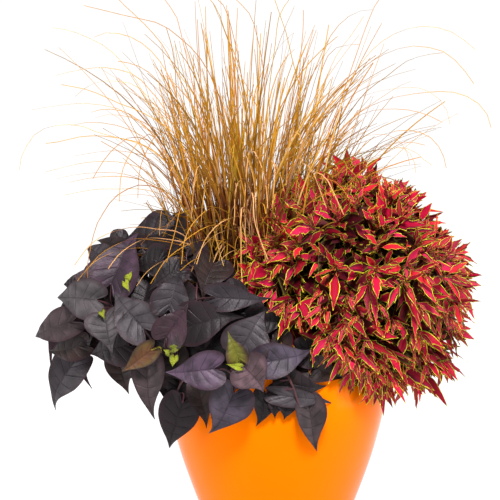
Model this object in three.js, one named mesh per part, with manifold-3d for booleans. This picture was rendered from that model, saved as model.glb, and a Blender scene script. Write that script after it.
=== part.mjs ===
// A filled planter: a round glossy pot of potting soil, planted with a dissected-leaf coleus on the
// right, a dark-leaved sweet potato vine on the left and front, and a bronze sedge behind them.
// Millimetres, +Z up. The origin is the centre of the pot's foot, and the front faces -Y.
import * as THREE from 'three';
import { mergeVertices } from 'three/addons/utils/BufferGeometryUtils.js';
import Module from 'manifold-3d';

const wasm = await Module();
wasm.setup();

// ---- Driving dimensions ----

const GAP = 0.3; // clearance kept between pieces that touch
const SHORTEST_EDGE = 0.08; // edges below this close up after a cut

const POT_HEIGHT = 310;
const POT_WALL = 5;
const POT_FLOOR = 8;
const POT_SIDES = 32;
const POT_OUTLINE = [[104, 0], [133, 67], [168, 170], [180.8, 236], [172, POT_HEIGHT]]; // radius, height
const DRAIN_HOLES = 4;
const DRAIN_RADIUS = 7;
const DRAIN_CIRCLE = 62;
const SOIL_TOP = 285;

const SEDGE_CROWN = new THREE.Vector3(-45, 35, SOIL_TOP);
const SEDGE_BLADES = 9; // in each of its four tufts
const SEDGE_SPREAD = 13; // from the crown's centre to each tuft's root
const SEDGE_FAN = 74; // degrees of azimuth that a tuft covers
const BLADE_WIDTH = 2.6;

const COLEUS_CROWN = new THREE.Vector3(95, -5, SOIL_TOP);
const COLEUS_ROOT_CIRCLE = 50;
const DOME = new THREE.Vector3(138, -15, 425); // centre of the coleus's rounded head
const DOME_RADII = new THREE.Vector3(168, 163, 190); // to its rosettes; the leaves reach beyond
const COLEUS_STEM = 3.2;
const ROSETTE_LEAF = 44;
const ROSETTE_LEAF_WIDTH = 13;

const VINE_STEM = 2.6;
const PETIOLE = 1.3;
const LEAF_THICK = 1.8; // at the midrib; the edges are thin
const LEAF_FOLD = 0.22; // rise of a leaf's edges over its midrib, as a share of the half width
const LEAF_BOW = 0.08; // arch of the midrib, as a share of the leaf's length

const CERISE = 0xb02840;
const MAROON = 0x6a2430;
const BRONZE = 0xb08048;
const CHARCOAL = 0x3a3438;
const PURPLE = 0x5a4560;
const POT_ORANGE = 0xf08a10;
const SOIL_BROWN = 0x2c1f18;
const STEM_RED = 0x50303a;

// ---- Solids ----

const group = new THREE.Group();
const placed = []; // the guard, a solid swollen by the gap, of each piece made so far

// Deterministic scatter between -1 and 1.
function vary(k) {
  const wave = Math.sin(k * 12.9898 + 78.233) * 43758.5453;
  return 2 * (wave - Math.floor(wave)) - 1;
}

// A closed surface as a manifold solid, with its faces turned outward.
function solid(geometry) {
  const bare = geometry.clone();
  bare.deleteAttribute('normal');
  bare.deleteAttribute('uv');
  const merged = mergeVertices(bare, 1e-4);
  const triVerts = new Uint32Array(merged.index.array);
  const vertProperties = merged.attributes.position.array;
  return new wasm.Manifold(new wasm.Mesh({ numProp: 3, vertProperties, triVerts }));
}

// A skin over rings of equal point counts, with a flat fan over each end. The second half of each
// ring splits along the other diagonal, which keeps the two sides of a thin warped leaf parallel.
function loft(rings) {
  const count = rings[0].length;
  const index = [];
  for (let i = 0; i + 1 < rings.length; i++) {
    for (let j = 0; j < count; j++) {
      const a = i * count + j;
      const b = i * count + ((j + 1) % count);
      if (2 * j < count) index.push(a, b, b + count, a, b + count, a + count);
      else index.push(a, b, a + count, b, b + count, a + count);
    }
  }
  const last = (rings.length - 1) * count;
  for (let j = 1; j + 1 < count; j++) {
    index.push(0, j + 1, j, last, last + j, last + j + 1);
  }
  const geometry = new THREE.BufferGeometry().setFromPoints(rings.flat());
  geometry.setIndex(index);
  return solid(geometry);
}

// A tapering round rod along a curve; it grows by the guard's gap all round and at both ends.
function rod(points, startRadius, endRadius, sides, steps, grow) {
  const curve = new THREE.CatmullRomCurve3(points, false, 'centripetal');
  const frames = curve.computeFrenetFrames(steps, false);
  const rings = [];
  for (let i = 0; i <= steps; i++) {
    const centre = curve.getPointAt(i / steps);
    if (i === 0) centre.addScaledVector(frames.tangents[0], -grow);
    if (i === steps) centre.addScaledVector(frames.tangents[steps], grow);
    const radius = THREE.MathUtils.lerp(startRadius, endRadius, i / steps) + grow;
    const ring = [];
    for (let j = 0; j < sides; j++) {
      const turn = (2 * Math.PI * j) / sides;
      ring.push(centre.clone()
        .addScaledVector(frames.normals[i], radius * Math.cos(turn))
        .addScaledVector(frames.binormals[i], radius * Math.sin(turn)));
    }
    rings.push(ring);
  }
  return loft(rings);
}

function union(parts) {
  return parts.reduce((whole, part) => whole.add(part));
}

function boxesMeet(one, other) {
  const a = one.boundingBox();
  const b = other.boundingBox();
  return [0, 1, 2].every((k) => a.min[k] < b.max[k] && b.min[k] < a.max[k]);
}

function cutBy(body, guards) {
  return guards.filter((guard) => boxesMeet(body, guard))
    .reduce((rest, guard) => rest.subtract(guard), body);
}

// The largest body that a cut leaves; loose ends fall away.
function largest(body) {
  const bodies = body.simplify(SHORTEST_EDGE).decompose();
  return bodies.reduce((best, next) => (next.volume() > best.volume() ? next : best));
}

function addMesh(name, body, color, roughness) {
  const mesh = body.getMesh();
  const geometry = new THREE.BufferGeometry();
  geometry.setAttribute('position', new THREE.BufferAttribute(mesh.vertProperties, 3));
  geometry.setIndex(new THREE.BufferAttribute(mesh.triVerts, 1));
  geometry.computeVertexNormals();
  const material = new THREE.MeshStandardMaterial({ color, roughness, metalness: 0, flatShading: true });
  const node = new THREE.Mesh(geometry, material);
  node.name = name;
  group.add(node);
}

// Adds a piece, cut clear of every piece before it. shape(grow) returns it swollen by grow.
function place(name, shape, color, roughness = 0.6) {
  addMesh(name, largest(cutBy(shape(0), placed)), color, roughness);
  placed.push(shape(GAP));
}

// ---- Pot and soil ----

const potCurve = new THREE.SplineCurve(POT_OUTLINE.map(([r, z]) => new THREE.Vector2(r, z)));
const potSide = potCurve.getPoints(9);

// The pot's outer radius at a height, from its outline.
function potRadius(z) {
  const i = THREE.MathUtils.clamp(potSide.findIndex((p) => p.y > z), 1, potSide.length - 1);
  const low = potSide[i - 1];
  const high = potSide[i];
  return THREE.MathUtils.mapLinear(THREE.MathUtils.clamp(z, 0, POT_HEIGHT), low.y, high.y, low.x, high.x);
}

function lathe(profile) {
  return solid(new THREE.LatheGeometry(profile.map(([r, z]) => new THREE.Vector2(r, z)), POT_SIDES)
    .rotateX(Math.PI / 2));
}

function drainHole(k) {
  const turn = (2 * Math.PI * (k + 0.5)) / DRAIN_HOLES;
  const drill = new THREE.CylinderGeometry(DRAIN_RADIUS, DRAIN_RADIUS, 4 * POT_FLOOR, 10);
  drill.rotateX(Math.PI / 2);
  drill.translate(DRAIN_CIRCLE * Math.cos(turn), DRAIN_CIRCLE * Math.sin(turn), 0);
  return solid(drill);
}

function pot(grow) {
  const outside = potSide.map((p) => [p.x + grow, p.y]);
  const lip = [[172 - POT_WALL / 2, POT_HEIGHT + 1.5 + grow]];
  const inside = potSide.filter((p) => p.y > POT_FLOOR).reverse().map((p) => [p.x - POT_WALL - grow, p.y]);
  const floor = [[potRadius(POT_FLOOR) - POT_WALL - grow, POT_FLOOR + grow], [0, POT_FLOOR + grow]];
  const shell = lathe([[0, 0], ...outside, ...lip, ...inside, ...floor]);
  return cutBy(shell, Array.from({ length: DRAIN_HOLES }, (_, k) => drainHole(k)));
}

function soil(grow) {
  const inner = (z) => potRadius(z) - POT_WALL - GAP + grow;
  const base = POT_FLOOR + GAP - grow;
  const side = potSide.filter((p) => p.y > base + 1 && p.y < SOIL_TOP - 1).map((p) => [inner(p.y), p.y]);
  const top = SOIL_TOP + grow;
  return lathe([[0, base], [inner(base), base], ...side, [inner(SOIL_TOP), top], [0, top]]);
}

place('pot', pot, POT_ORANGE, 0.12);
place('potting_soil', soil, SOIL_BROWN, 0.95);

// ---- Bronze sedge: four tufts of arching blades round one crown ----

// A blade leaves the crown near upright and bends over as it goes out; its section is a flat triangle.
function sedgeBlade(root, azimuth, length, lean, bend, grow) {
  const steps = 6;
  const outward = new THREE.Vector3(Math.cos(azimuth), Math.sin(azimuth), 0);
  const across = new THREE.Vector3(-outward.y, outward.x, 0);
  const centre = root.clone();
  const rings = [];
  for (let i = 0; i <= steps; i++) {
    const along = i / steps;
    const angle = lean + (bend - lean) * along ** 1.7;
    const over = outward.clone().multiplyScalar(Math.cos(angle)).setZ(-Math.sin(angle));
    const half = (BLADE_WIDTH / 2) * (1 - 0.75 * along) + grow;
    rings.push([
      centre.clone().addScaledVector(across, half),
      centre.clone().addScaledVector(across, -half),
      centre.clone().addScaledVector(over, 1.1 * half),
    ]);
    const step = length / steps;
    centre.addScaledVector(outward, step * Math.sin(angle)).setZ(centre.z + step * Math.cos(angle));
  }
  return loft(rings);
}

function sedgeTuft(quarter) {
  const facing = (quarter * Math.PI) / 2;
  const root = SEDGE_CROWN.clone();
  root.x += SEDGE_SPREAD * Math.cos(facing);
  root.y += SEDGE_SPREAD * Math.sin(facing);
  const foot = root.clone().setZ(SOIL_TOP + GAP);
  const head = root.clone().setZ(SOIL_TOP + 30);
  return (grow) => {
    const parts = [rod([foot, head], 8, 6, 8, 1, grow)];
    for (let k = 0; k < SEDGE_BLADES; k++) {
      const seed = 40 * quarter + k;
      const azimuth = facing + THREE.MathUtils.degToRad(SEDGE_FAN * (k / (SEDGE_BLADES - 1) - 0.5));
      const arching = k % 3 === 1;
      const length = arching ? 610 + 25 * vary(seed) : 570 + 60 * vary(seed);
      const lean = THREE.MathUtils.degToRad(arching ? 16 : 5 + 3 * vary(seed + 7));
      const bend = THREE.MathUtils.degToRad(arching ? 88 + 12 * vary(seed + 3) : 28 + 14 * vary(seed + 5));
      const start = root.clone().setZ(SOIL_TOP + 12);
      parts.push(sedgeBlade(start, azimuth, length, lean, bend, grow));
    }
    return union(parts);
  };
}

['right', 'back', 'left', 'front'].forEach((side, quarter) => {
  place(`sedge_tuft_${side}`, sedgeTuft(quarter), BRONZE, 0.7);
});

// ---- Sweet potato vine: where its leaves lie ----

const VIEW_DROP = THREE.MathUtils.degToRad(8); // the front elevation is drawn looking down by this
const VIEW_DISTANCE = 4000;
const FRONT = new THREE.Vector3(0, -Math.cos(VIEW_DROP), Math.sin(VIEW_DROP));
const MOUND_CENTRE = new THREE.Vector3(-120, 10, 330);
const MOUND_REACH = 205; // how far the foliage stands out in front of the pot's axis
const POT_CLEARANCE = 9; // of a leaf that hangs in front of the pot

// The point that shows at (across, up) from the rim's centre in the front elevation, out in front.
function inView(across, up, out) {
  const near = 1 - out / VIEW_DISTANCE;
  const rise = (up * near + out * Math.sin(VIEW_DROP)) / Math.cos(VIEW_DROP);
  return new THREE.Vector3(across * near, -out, POT_HEIGHT + rise);
}

// A point on the rounded front of the mound, lift mm in front of it, and never inside the pot.
function onMound(across, up, lift) {
  const side = 150 * ((across + 90) / 320) ** 2;
  const height = up > 0 ? 150 * (up / 240) ** 2 : 25 * (up / 160) ** 2;
  const point = inView(across, up, MOUND_REACH - side - height + lift);
  const radius = potRadius(point.z);
  if (point.z > POT_HEIGHT || Math.abs(point.x) > radius) return point;
  const clear = Math.sqrt(radius ** 2 - point.x ** 2) + POT_CLEARANCE;
  return -point.y > clear ? point : inView(across, up, clear);
}

// A leaf's own axes: from its base to its tip, across, and out of its face.
function leafFrame(base, tip, width) {
  const axis = tip.clone().sub(base);
  const length = axis.length();
  axis.divideScalar(length);
  const outward = base.clone().sub(MOUND_CENTRE).normalize();
  const facing = FRONT.clone().multiplyScalar(0.65).addScaledVector(outward, 0.35);
  const across = axis.clone().cross(facing).normalize();
  const normal = across.clone().cross(axis).normalize();
  const flatAxis = axis.clone().addScaledVector(FRONT, -axis.dot(FRONT)).normalize();
  const flatAcross = across.clone().addScaledVector(FRONT, -across.dot(FRONT));
  const shown = flatAcross.cross(flatAxis).length();
  return { base, axis, across, normal, length, half: width / 2 / Math.max(shown, 0.65) };
}

// The heart-shaped outline of one half, as [share of the length, share of the half width].
const HEART = [
  [0.02, 0.08], [-0.14, 0.45], [-0.08, 0.85], [0.12, 1], [0.4, 0.82], [0.72, 0.36], [0.99, 0.03],
];

// A point of the leaf's middle surface, which folds up at the midrib and arches along it.
function leafPoint(leaf, along, half) {
  const rise = LEAF_FOLD * Math.abs(half) * leaf.half + LEAF_BOW * 4 * along * (1 - along) * leaf.length;
  return leaf.base.clone()
    .addScaledVector(leaf.axis, along * leaf.length)
    .addScaledVector(leaf.across, half * leaf.half)
    .addScaledVector(leaf.normal, rise);
}

function heartLeaf(leaf, grow) {
  const rings = HEART.map(([along, half], i) => {
    const rib = leafPoint(leaf, 0.02 + 0.97 * (i / (HEART.length - 1)) ** 1.6, 0);
    const edges = [-1, 1].map((side) => leafPoint(leaf, along, side * half)
      .addScaledVector(leaf.across, side * grow)
      .addScaledVector(leaf.axis, grow * Math.sign(along - 0.1)));
    const raised = (point, height) => point.clone().addScaledVector(leaf.normal, height);
    const thick = LEAF_THICK / 2 + grow;
    if (grow === 0) return [edges[0], raised(rib, thick), edges[1], raised(rib, -thick)];
    return [
      raised(edges[0], grow), raised(rib, thick), raised(edges[1], grow),
      raised(edges[1], -grow), raised(rib, -thick), raised(edges[0], -grow),
    ];
  });
  return loft(rings);
}

function petiole(leaf, root, grow) {
  const top = leafPoint(leaf, 0.06, 0);
  const bend = leaf.base.clone().addScaledVector(leaf.axis, -10).addScaledVector(leaf.normal, -8);
  return rod([root, bend.lerp(root, 0.3), top], PETIOLE * 1.2, PETIOLE, 4, 3, grow);
}

// Runners, each a list of points from the soil over the rim and down the mound.
const RUNNERS = {
  left: [[-75, -60], [-105, -90, 335], [-190, -105, 385], [-270, -85, 400], [-320, -50, 375], [-340, -20, 320]],
  high: [[-80, -30], [-125, -75, 385], [-170, -80, 460], [-205, -55, 490], [-245, -30, 485]],
  middle: [[-60, -45], [-105, -130, 385], [-130, -150, 430], [-125, -110, 465]],
  low_left: [[-65, -90], [-95, -122, 332], [-150, -150, 340], [-215, -135, 335], [-262, -90, 310]],
  low: [[-50, -92], [-75, -132, 330], [-115, -165, 325], [-150, -160, 300], [-165, -135, 270]],
  front: [[-30, -98], [-45, -145, 330], [-65, -182, 322], [-74, -196, 295], [-75, -190, 270]],
  right: [[0, -98], [0, -146, 330], [10, -182, 322], [24, -196, 295], [34, -192, 262]],
};

function vineCurve([root, ...rest]) {
  const foot = new THREE.Vector3(root[0], root[1], SOIL_TOP + GAP);
  const neck = foot.clone().setZ(SOIL_TOP + 20);
  return [foot, neck, ...rest.map((p) => new THREE.Vector3(...p))];
}

const runnerStations = Object.values(RUNNERS).flatMap((path) => {
  const curve = new THREE.CatmullRomCurve3(vineCurve(path), false, 'centripetal');
  return curve.getSpacedPoints(30).slice(5);
});

// The nearest point of any runner, which is where a leaf's stalk springs from.
function nearestStation(point) {
  return runnerStations.reduce((best, next) => (
    next.distanceTo(point) < best.distanceTo(point) ? next : best));
}

// Each leaf: its stalk end and its tip in the front elevation, its width, and its lift off the mound.
const LEAVES = {
  vine_leaf_01: [-338, 62, -411, 29, 54, -20],
  vine_leaf_02: [-298, 97, -370, 100, 60, -5],
  vine_leaf_03: [-288, 72, -275, 11, 62, 0],
  vine_leaf_04: [-278, 120, -231, 212, 70, -12],
  vine_leaf_05: [-305, 128, -341, 135, 36, -15],
  vine_leaf_06: [-283, 161, -317, 184, 40, -22],
  vine_leaf_08: [-182, 205, -262, 186, 70, -42],
  vine_leaf_09: [-190, 163, -243, 148, 50, -25],
  vine_leaf_10: [-163, 150, -216, 117, 46, -10],
  vine_leaf_11: [-182, 82, -162, 152, 56, 2],
  vine_leaf_12: [-105, 160, -130, 104, 62, -26],
  vine_leaf_13: [-108, 105, -10, 97, 42, 0],
  vine_leaf_14: [-155, 55, -58, 81, 68, -8],
  vine_leaf_15: [-188, 38, -147, 96, 54, 14],
  vine_leaf_16: [-222, 50, -275, 113, 62, 0],
  vine_leaf_17: [-248, 25, -315, 6, 62, -25],
  vine_leaf_18: [-322, 22, -384, 2, 40, -32],
  vine_leaf_20: [-334, -2, -383, -87, 60, -48],
  vine_leaf_21: [-265, 5, -249, -62, 50, -48],
  vine_leaf_22: [-218, 0, -213, -103, 52, -22],
  vine_leaf_24: [-158, -72, -185, -154, 62, -50],
  vine_leaf_26: [-73, -52, -109, -129, 64, 0],
  vine_leaf_27: [-103, -12, -189, -22, 60, 14],
  vine_leaf_28: [-62, 18, -24, 86, 76, -14],
  vine_leaf_29: [-58, -8, -19, -50, 58, 16],
  vine_leaf_30: [-26, -3, 62, 13, 55, 2],
  vine_leaf_32: [0, -35, 84, -52, 50, -16],
  vine_leaf_34: [-2, -58, 99, -68, 30, 0],
  vine_leaf_35: [-20, -55, -32, -114, 40, -20],
  vine_leaf_37: [57, -72, 64, -159, 52, -8],
  vine_leaf_gold: [-210, 18, -262, -24, 34, 0],
  vine_leaf_young: [-67, -1, -84, 47, 30, 20],
};

// Small and half-hidden leaves that grow as one with their runner, laid out as LEAVES are.
const RUNNER_LEAVES = {
  left: [[-325, 120, -357, 119, 30, -30], [-315, 58, -318, 4, 32, -34]],
  high: [[-255, 178, -301, 196, 30, -36], [-178, 222, -150, 172, 50, -48]],
  middle: [[-150, 180, -122, 197, 26, -40]],
  low_left: [[-190, 0, -195, -68, 45, -55]],
  low: [[-160, -30, -163, -92, 45, -62], [-135, -45, -114, -117, 36, -42]],
  front: [[-5, -70, -6, -99, 22, -20]],
  right: [[35, 15, 98, -8, 42, -20], [50, -10, 114, -35, 42, -14], [15, -70, 12, -101, 30, -20]],
};

function layOut([baseAcross, baseUp, tipAcross, tipUp, width, lift]) {
  return leafFrame(onMound(baseAcross, baseUp, lift), onMound(tipAcross, tipUp, lift), width);
}

function runner(side) {
  const leaves = RUNNER_LEAVES[side].map(layOut);
  return (grow) => union([
    rod(vineCurve(RUNNERS[side]), VINE_STEM, VINE_STEM * 0.6, 6, 10, grow),
    ...leaves.flatMap((leaf) => [heartLeaf(leaf, grow), petiole(leaf, nearestStation(leaf.base), grow)]),
  ]);
}

for (const side of Object.keys(RUNNERS)) place(`vine_runner_${side}`, runner(side), STEM_RED);

// Shoots at the back of the vine: a stem with its leaves alternating along it.
const BACK_SHOOTS = {
  back: [[-70, 75], [-95, 120, 350], [-140, 165, 375], [-195, 170, 350], [-230, 160, 290]],
  far_left: [[-95, 35], [-135, 55, 370], [-215, 70, 410], [-290, 60, 390], [-335, 50, 320]],
};
const SHOOT_LEAVES = 6;
const SHOOT_LEAF = 84;

function shootLeaves(path, seed) {
  const curve = new THREE.CatmullRomCurve3(vineCurve(path), false, 'centripetal');
  return Array.from({ length: SHOOT_LEAVES }, (_, k) => {
    const root = curve.getPointAt(0.34 + (0.66 * k) / (SHOOT_LEAVES - 1));
    const outward = root.clone().sub(MOUND_CENTRE).setZ(20).normalize();
    const sideways = new THREE.Vector3(-outward.y, outward.x, 0).multiplyScalar(k % 2 ? 1 : -1);
    const base = root.clone().addScaledVector(outward, 26 + 8 * vary(seed + k)).addScaledVector(sideways, 22);
    base.z += 26 + 14 * vary(seed + k + 50);
    const axis = outward.clone().multiplyScalar(0.45).addScaledVector(sideways, 0.65);
    axis.z -= 0.55 + 0.3 * vary(seed + k + 90);
    const length = SHOOT_LEAF * (1 + 0.12 * vary(seed + k + 20));
    const leaf = leafFrame(base, base.clone().addScaledVector(axis.normalize(), length), 0.72 * length);
    return { leaf: faceOut(leaf, outward), root };
  });
}

// Turns a leaf about its own axis until its face looks outward and up.
function faceOut(leaf, outward) {
  const facing = outward.clone().setZ(0.9);
  leaf.across = leaf.axis.clone().cross(facing).normalize();
  leaf.normal = leaf.across.clone().cross(leaf.axis).normalize();
  leaf.half = 0.36 * leaf.length;
  return leaf;
}

function backShoot(path, seed) {
  const leaves = shootLeaves(path, seed);
  return (grow) => union([
    rod(vineCurve(path), VINE_STEM, VINE_STEM * 0.6, 6, 10, grow),
    ...leaves.flatMap(({ leaf, root }) => [heartLeaf(leaf, grow), petiole(leaf, root, grow)]),
  ]);
}

Object.entries(BACK_SHOOTS).forEach(([side, path], k) => {
  place(`vine_shoot_${side}`, backShoot(path, 300 + 40 * k), CHARCOAL);
});

// Leaf blades give way to every stalk, and later blades to earlier ones.
const vineLeaves = Object.entries(LEAVES).map(([name, row]) => {
  const leaf = layOut(row);
  return { name, leaf, root: nearestStation(leaf.base) };
});
const stalkGuards = vineLeaves.map(({ leaf, root }) => petiole(leaf, root, GAP));

vineLeaves.forEach(({ name, leaf, root }, k) => {
  const stalk = cutBy(petiole(leaf, root, 0), [...placed, ...stalkGuards.slice(0, k)]);
  const others = stalkGuards.filter((_, j) => j !== k);
  const blade = cutBy(heartLeaf(leaf, 0), [...placed, ...others]);
  const color = k % 3 ? CHARCOAL : PURPLE;
  addMesh(name, largest(blade.add(stalk)), color, 0.55);
  placed.push(heartLeaf(leaf, GAP));
});
placed.push(...stalkGuards);

// ---- Coleus: branches that fork to rosettes over a rounded head ----

// Azimuth and elevation, in degrees, of each branch's place on the head. Azimuth 0 is the right side.
const BRANCHES = [
  ['top', 0, 88],
  ['upper_front', -85, 48], ['upper_right', 35, 48], ['upper_left', 155, 48],
  ['front_left', -145, 6], ['front', -97, 8], ['front_right', -46, 6],
  ['right', 5, 8], ['back_right', 56, 6], ['back', 107, 8],
  ['low_front', -68, -36], ['low_right', -8, -38], ['low_back', 52, -36],
];
const FORK_SPREAD = 17; // degrees from a branch's own direction to its rosettes
const RIM_MARGIN = 24; // height that a branch keeps over the pot's rim as it crosses it

function onDome(azimuth, elevation, share) {
  const a = THREE.MathUtils.degToRad(azimuth);
  const e = THREE.MathUtils.degToRad(elevation);
  const direction = new THREE.Vector3(Math.cos(e) * Math.cos(a), Math.cos(e) * Math.sin(a), Math.sin(e));
  return direction.multiply(DOME_RADII).multiplyScalar(share).add(DOME);
}

// A flat-backed leaf with a raised midrib, as a low eight-sided wedge.
function wedgeLeaf(base, axis, across, length, width, grow) {
  const normal = across.clone().cross(axis).normalize();
  const middle = base.clone().addScaledVector(axis, 0.45 * length);
  const half = width / 2 + grow;
  const ring = [
    base.clone().addScaledVector(axis, -grow),
    middle.clone().addScaledVector(across, -half),
    base.clone().addScaledVector(axis, length + grow),
    middle.clone().addScaledVector(across, half),
  ];
  const top = middle.clone().addScaledVector(normal, 1 + grow);
  const bottom = middle.clone().addScaledVector(normal, -1 - grow);
  const geometry = new THREE.BufferGeometry().setFromPoints([...ring, top, bottom]);
  geometry.setIndex([0, 1, 4, 1, 2, 4, 2, 3, 4, 3, 0, 4, 1, 0, 5, 2, 1, 5, 3, 2, 5, 0, 3, 5]);
  const made = solid(geometry);
  if (made.volume() > 0) return made;
  geometry.setIndex([1, 0, 4, 2, 1, 4, 3, 2, 4, 0, 3, 4, 0, 1, 5, 1, 2, 5, 2, 3, 5, 3, 0, 5]);
  return solid(geometry);
}

// Two crossed pairs of opposite leaves at the end of a twig, the lower pair set back along it.
function rosette(tip, outward, seed, grow) {
  const side = outward.clone().cross(new THREE.Vector3(0.2, 0.3, 1)).normalize();
  return [0, 1, 2, 3].map((k) => {
    const upper = k > 1;
    const spread = THREE.MathUtils.degToRad(upper ? 42 : 72);
    const swing = side.clone().applyAxisAngle(outward, k * Math.PI + (upper ? Math.PI / 2 : 0) + vary(seed));
    const axis = outward.clone().multiplyScalar(Math.cos(spread)).addScaledVector(swing, Math.sin(spread));
    const base = tip.clone().addScaledVector(outward, upper ? -2 : -12).addScaledVector(swing, 0.5);
    const length = ROSETTE_LEAF * (upper ? 0.8 : 1) * (1 + 0.12 * vary(seed + k));
    return wedgeLeaf(base, axis, swing.cross(outward).normalize(), length, ROSETTE_LEAF_WIDTH, grow);
  });
}

function coleusBranch(azimuth, elevation, seed) {
  const out = THREE.MathUtils.degToRad(azimuth);
  const spread = elevation > 80 ? 0 : COLEUS_ROOT_CIRCLE;
  const foot = COLEUS_CROWN.clone();
  foot.x += spread * Math.cos(out);
  foot.y += spread * Math.sin(out);
  foot.z += GAP;
  const neck = foot.clone().setZ(SOIL_TOP + 20);
  const hub = onDome(azimuth, elevation, 0.62);
  const over = foot.clone().lerp(hub, 0.5);
  over.z = Math.max(over.z, POT_HEIGHT + RIM_MARGIN + 18);
  hub.z = Math.max(hub.z, POT_HEIGHT + RIM_MARGIN);
  const tips = [[1, 1], [1, -1], [-1, 1], [-1, -1]].map(([east, north]) => {
    const lean = FORK_SPREAD / Math.max(Math.cos(THREE.MathUtils.degToRad(elevation)), 0.45);
    return onDome(azimuth + east * lean, elevation + north * FORK_SPREAD, 1);
  });
  return (grow) => {
    const parts = [rod([foot, neck, over, hub], COLEUS_STEM, COLEUS_STEM * 0.75, 6, 5, grow)];
    tips.forEach((tip, k) => {
      const outward = tip.clone().sub(DOME).divide(DOME_RADII).normalize();
      const bend = hub.clone().lerp(tip, 0.5).addScaledVector(outward, -8);
      parts.push(rod([hub, bend, tip], COLEUS_STEM * 0.6, 1.4, 4, 2, grow));
      parts.push(...rosette(tip, outward, seed + 11 * k, grow));
    });
    return union(parts);
  };
}

BRANCHES.forEach(([side, azimuth, elevation], k) => {
  place(`coleus_branch_${side}`, coleusBranch(azimuth, elevation, 600 + 50 * k), k % 2 ? CERISE : MAROON);
});

export default group;
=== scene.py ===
import bpy
import numpy as np
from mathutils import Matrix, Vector


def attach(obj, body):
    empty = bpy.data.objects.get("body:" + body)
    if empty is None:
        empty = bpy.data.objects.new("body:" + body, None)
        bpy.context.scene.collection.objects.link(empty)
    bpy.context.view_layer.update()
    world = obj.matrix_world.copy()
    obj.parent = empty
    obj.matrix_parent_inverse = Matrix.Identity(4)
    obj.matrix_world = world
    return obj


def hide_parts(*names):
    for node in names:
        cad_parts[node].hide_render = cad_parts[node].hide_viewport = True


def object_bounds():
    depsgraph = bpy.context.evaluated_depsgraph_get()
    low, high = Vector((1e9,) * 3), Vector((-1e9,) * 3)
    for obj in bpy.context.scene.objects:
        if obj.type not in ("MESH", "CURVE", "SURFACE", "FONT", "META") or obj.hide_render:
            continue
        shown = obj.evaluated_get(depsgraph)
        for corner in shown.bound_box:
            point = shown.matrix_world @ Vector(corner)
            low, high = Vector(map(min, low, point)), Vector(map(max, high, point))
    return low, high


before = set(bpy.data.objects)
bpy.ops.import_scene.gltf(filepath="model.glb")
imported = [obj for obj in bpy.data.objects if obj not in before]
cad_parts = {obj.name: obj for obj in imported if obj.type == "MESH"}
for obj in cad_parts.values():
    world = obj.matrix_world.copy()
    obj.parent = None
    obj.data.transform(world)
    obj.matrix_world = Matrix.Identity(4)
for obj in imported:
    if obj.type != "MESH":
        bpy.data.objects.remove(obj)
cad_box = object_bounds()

# ---- Pot ----
# A round planter of glossy orange plastic, moulded in one piece with a thin wall, a rounded lip and a flat
# foot with four drain holes. It stands free and carries everything else.

# The outside of the pot from its foot to its rim: radius and height.
POT_OUTLINE = [[0.104, 0.0], [0.133, 0.067], [0.168, 0.170], [0.1808, 0.236], [0.172, 0.310]]
POT_WALL = 0.005
POT_FLOOR = 0.008
POT_SIDES = 160
WALL_POINTS = 60  # up its outline
FOOT_EDGE = 0.002  # radius of the foot's rounded edge
FLOOR_CORNER = 0.004  # height over the floor at which the wall inside ends
DRAIN_HOLES = 4
DRAIN_CIRCLE = 0.062
DRAIN_RADIUS = 0.007
DRILL_ENDS = [-0.01, 0.03]  # heights between which the drain holes are cut
DRILL_SIDES = 24
CURVE_STEPS = 40  # for each given point of a curve, before its points are spaced evenly


class Signal:
    """A number inside a finish; arithmetic on it adds Math nodes."""

    def __init__(self, finish, socket):
        self.finish = finish
        self.socket = socket

    def math(self, operation, *values):
        return self.finish.node("ShaderNodeMath", {"operation": operation}, dict(enumerate(values)))

    def __add__(self, other):
        return self.math("ADD", self, other)

    def __sub__(self, other):
        return self.math("SUBTRACT", self, other)

    def __rsub__(self, other):
        return self.math("SUBTRACT", other, self)

    def __mul__(self, other):
        return self.math("MULTIPLY", self, other)

    def __abs__(self):
        return self.math("ABSOLUTE", self)

    __radd__ = __add__
    __rmul__ = __mul__

    def wrapped(self):
        """The part after the decimal point."""
        return self.math("FRACT", self)

    def step(self, low, high):
        """0 below low, 1 above high, and a smooth ramp between them; high may be the lower of the two."""
        ends = {"Value": self, "From Min": low, "From Max": high}
        return self.finish.node("ShaderNodeMapRange", {"interpolation_type": "SMOOTHSTEP"}, ends)


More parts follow.
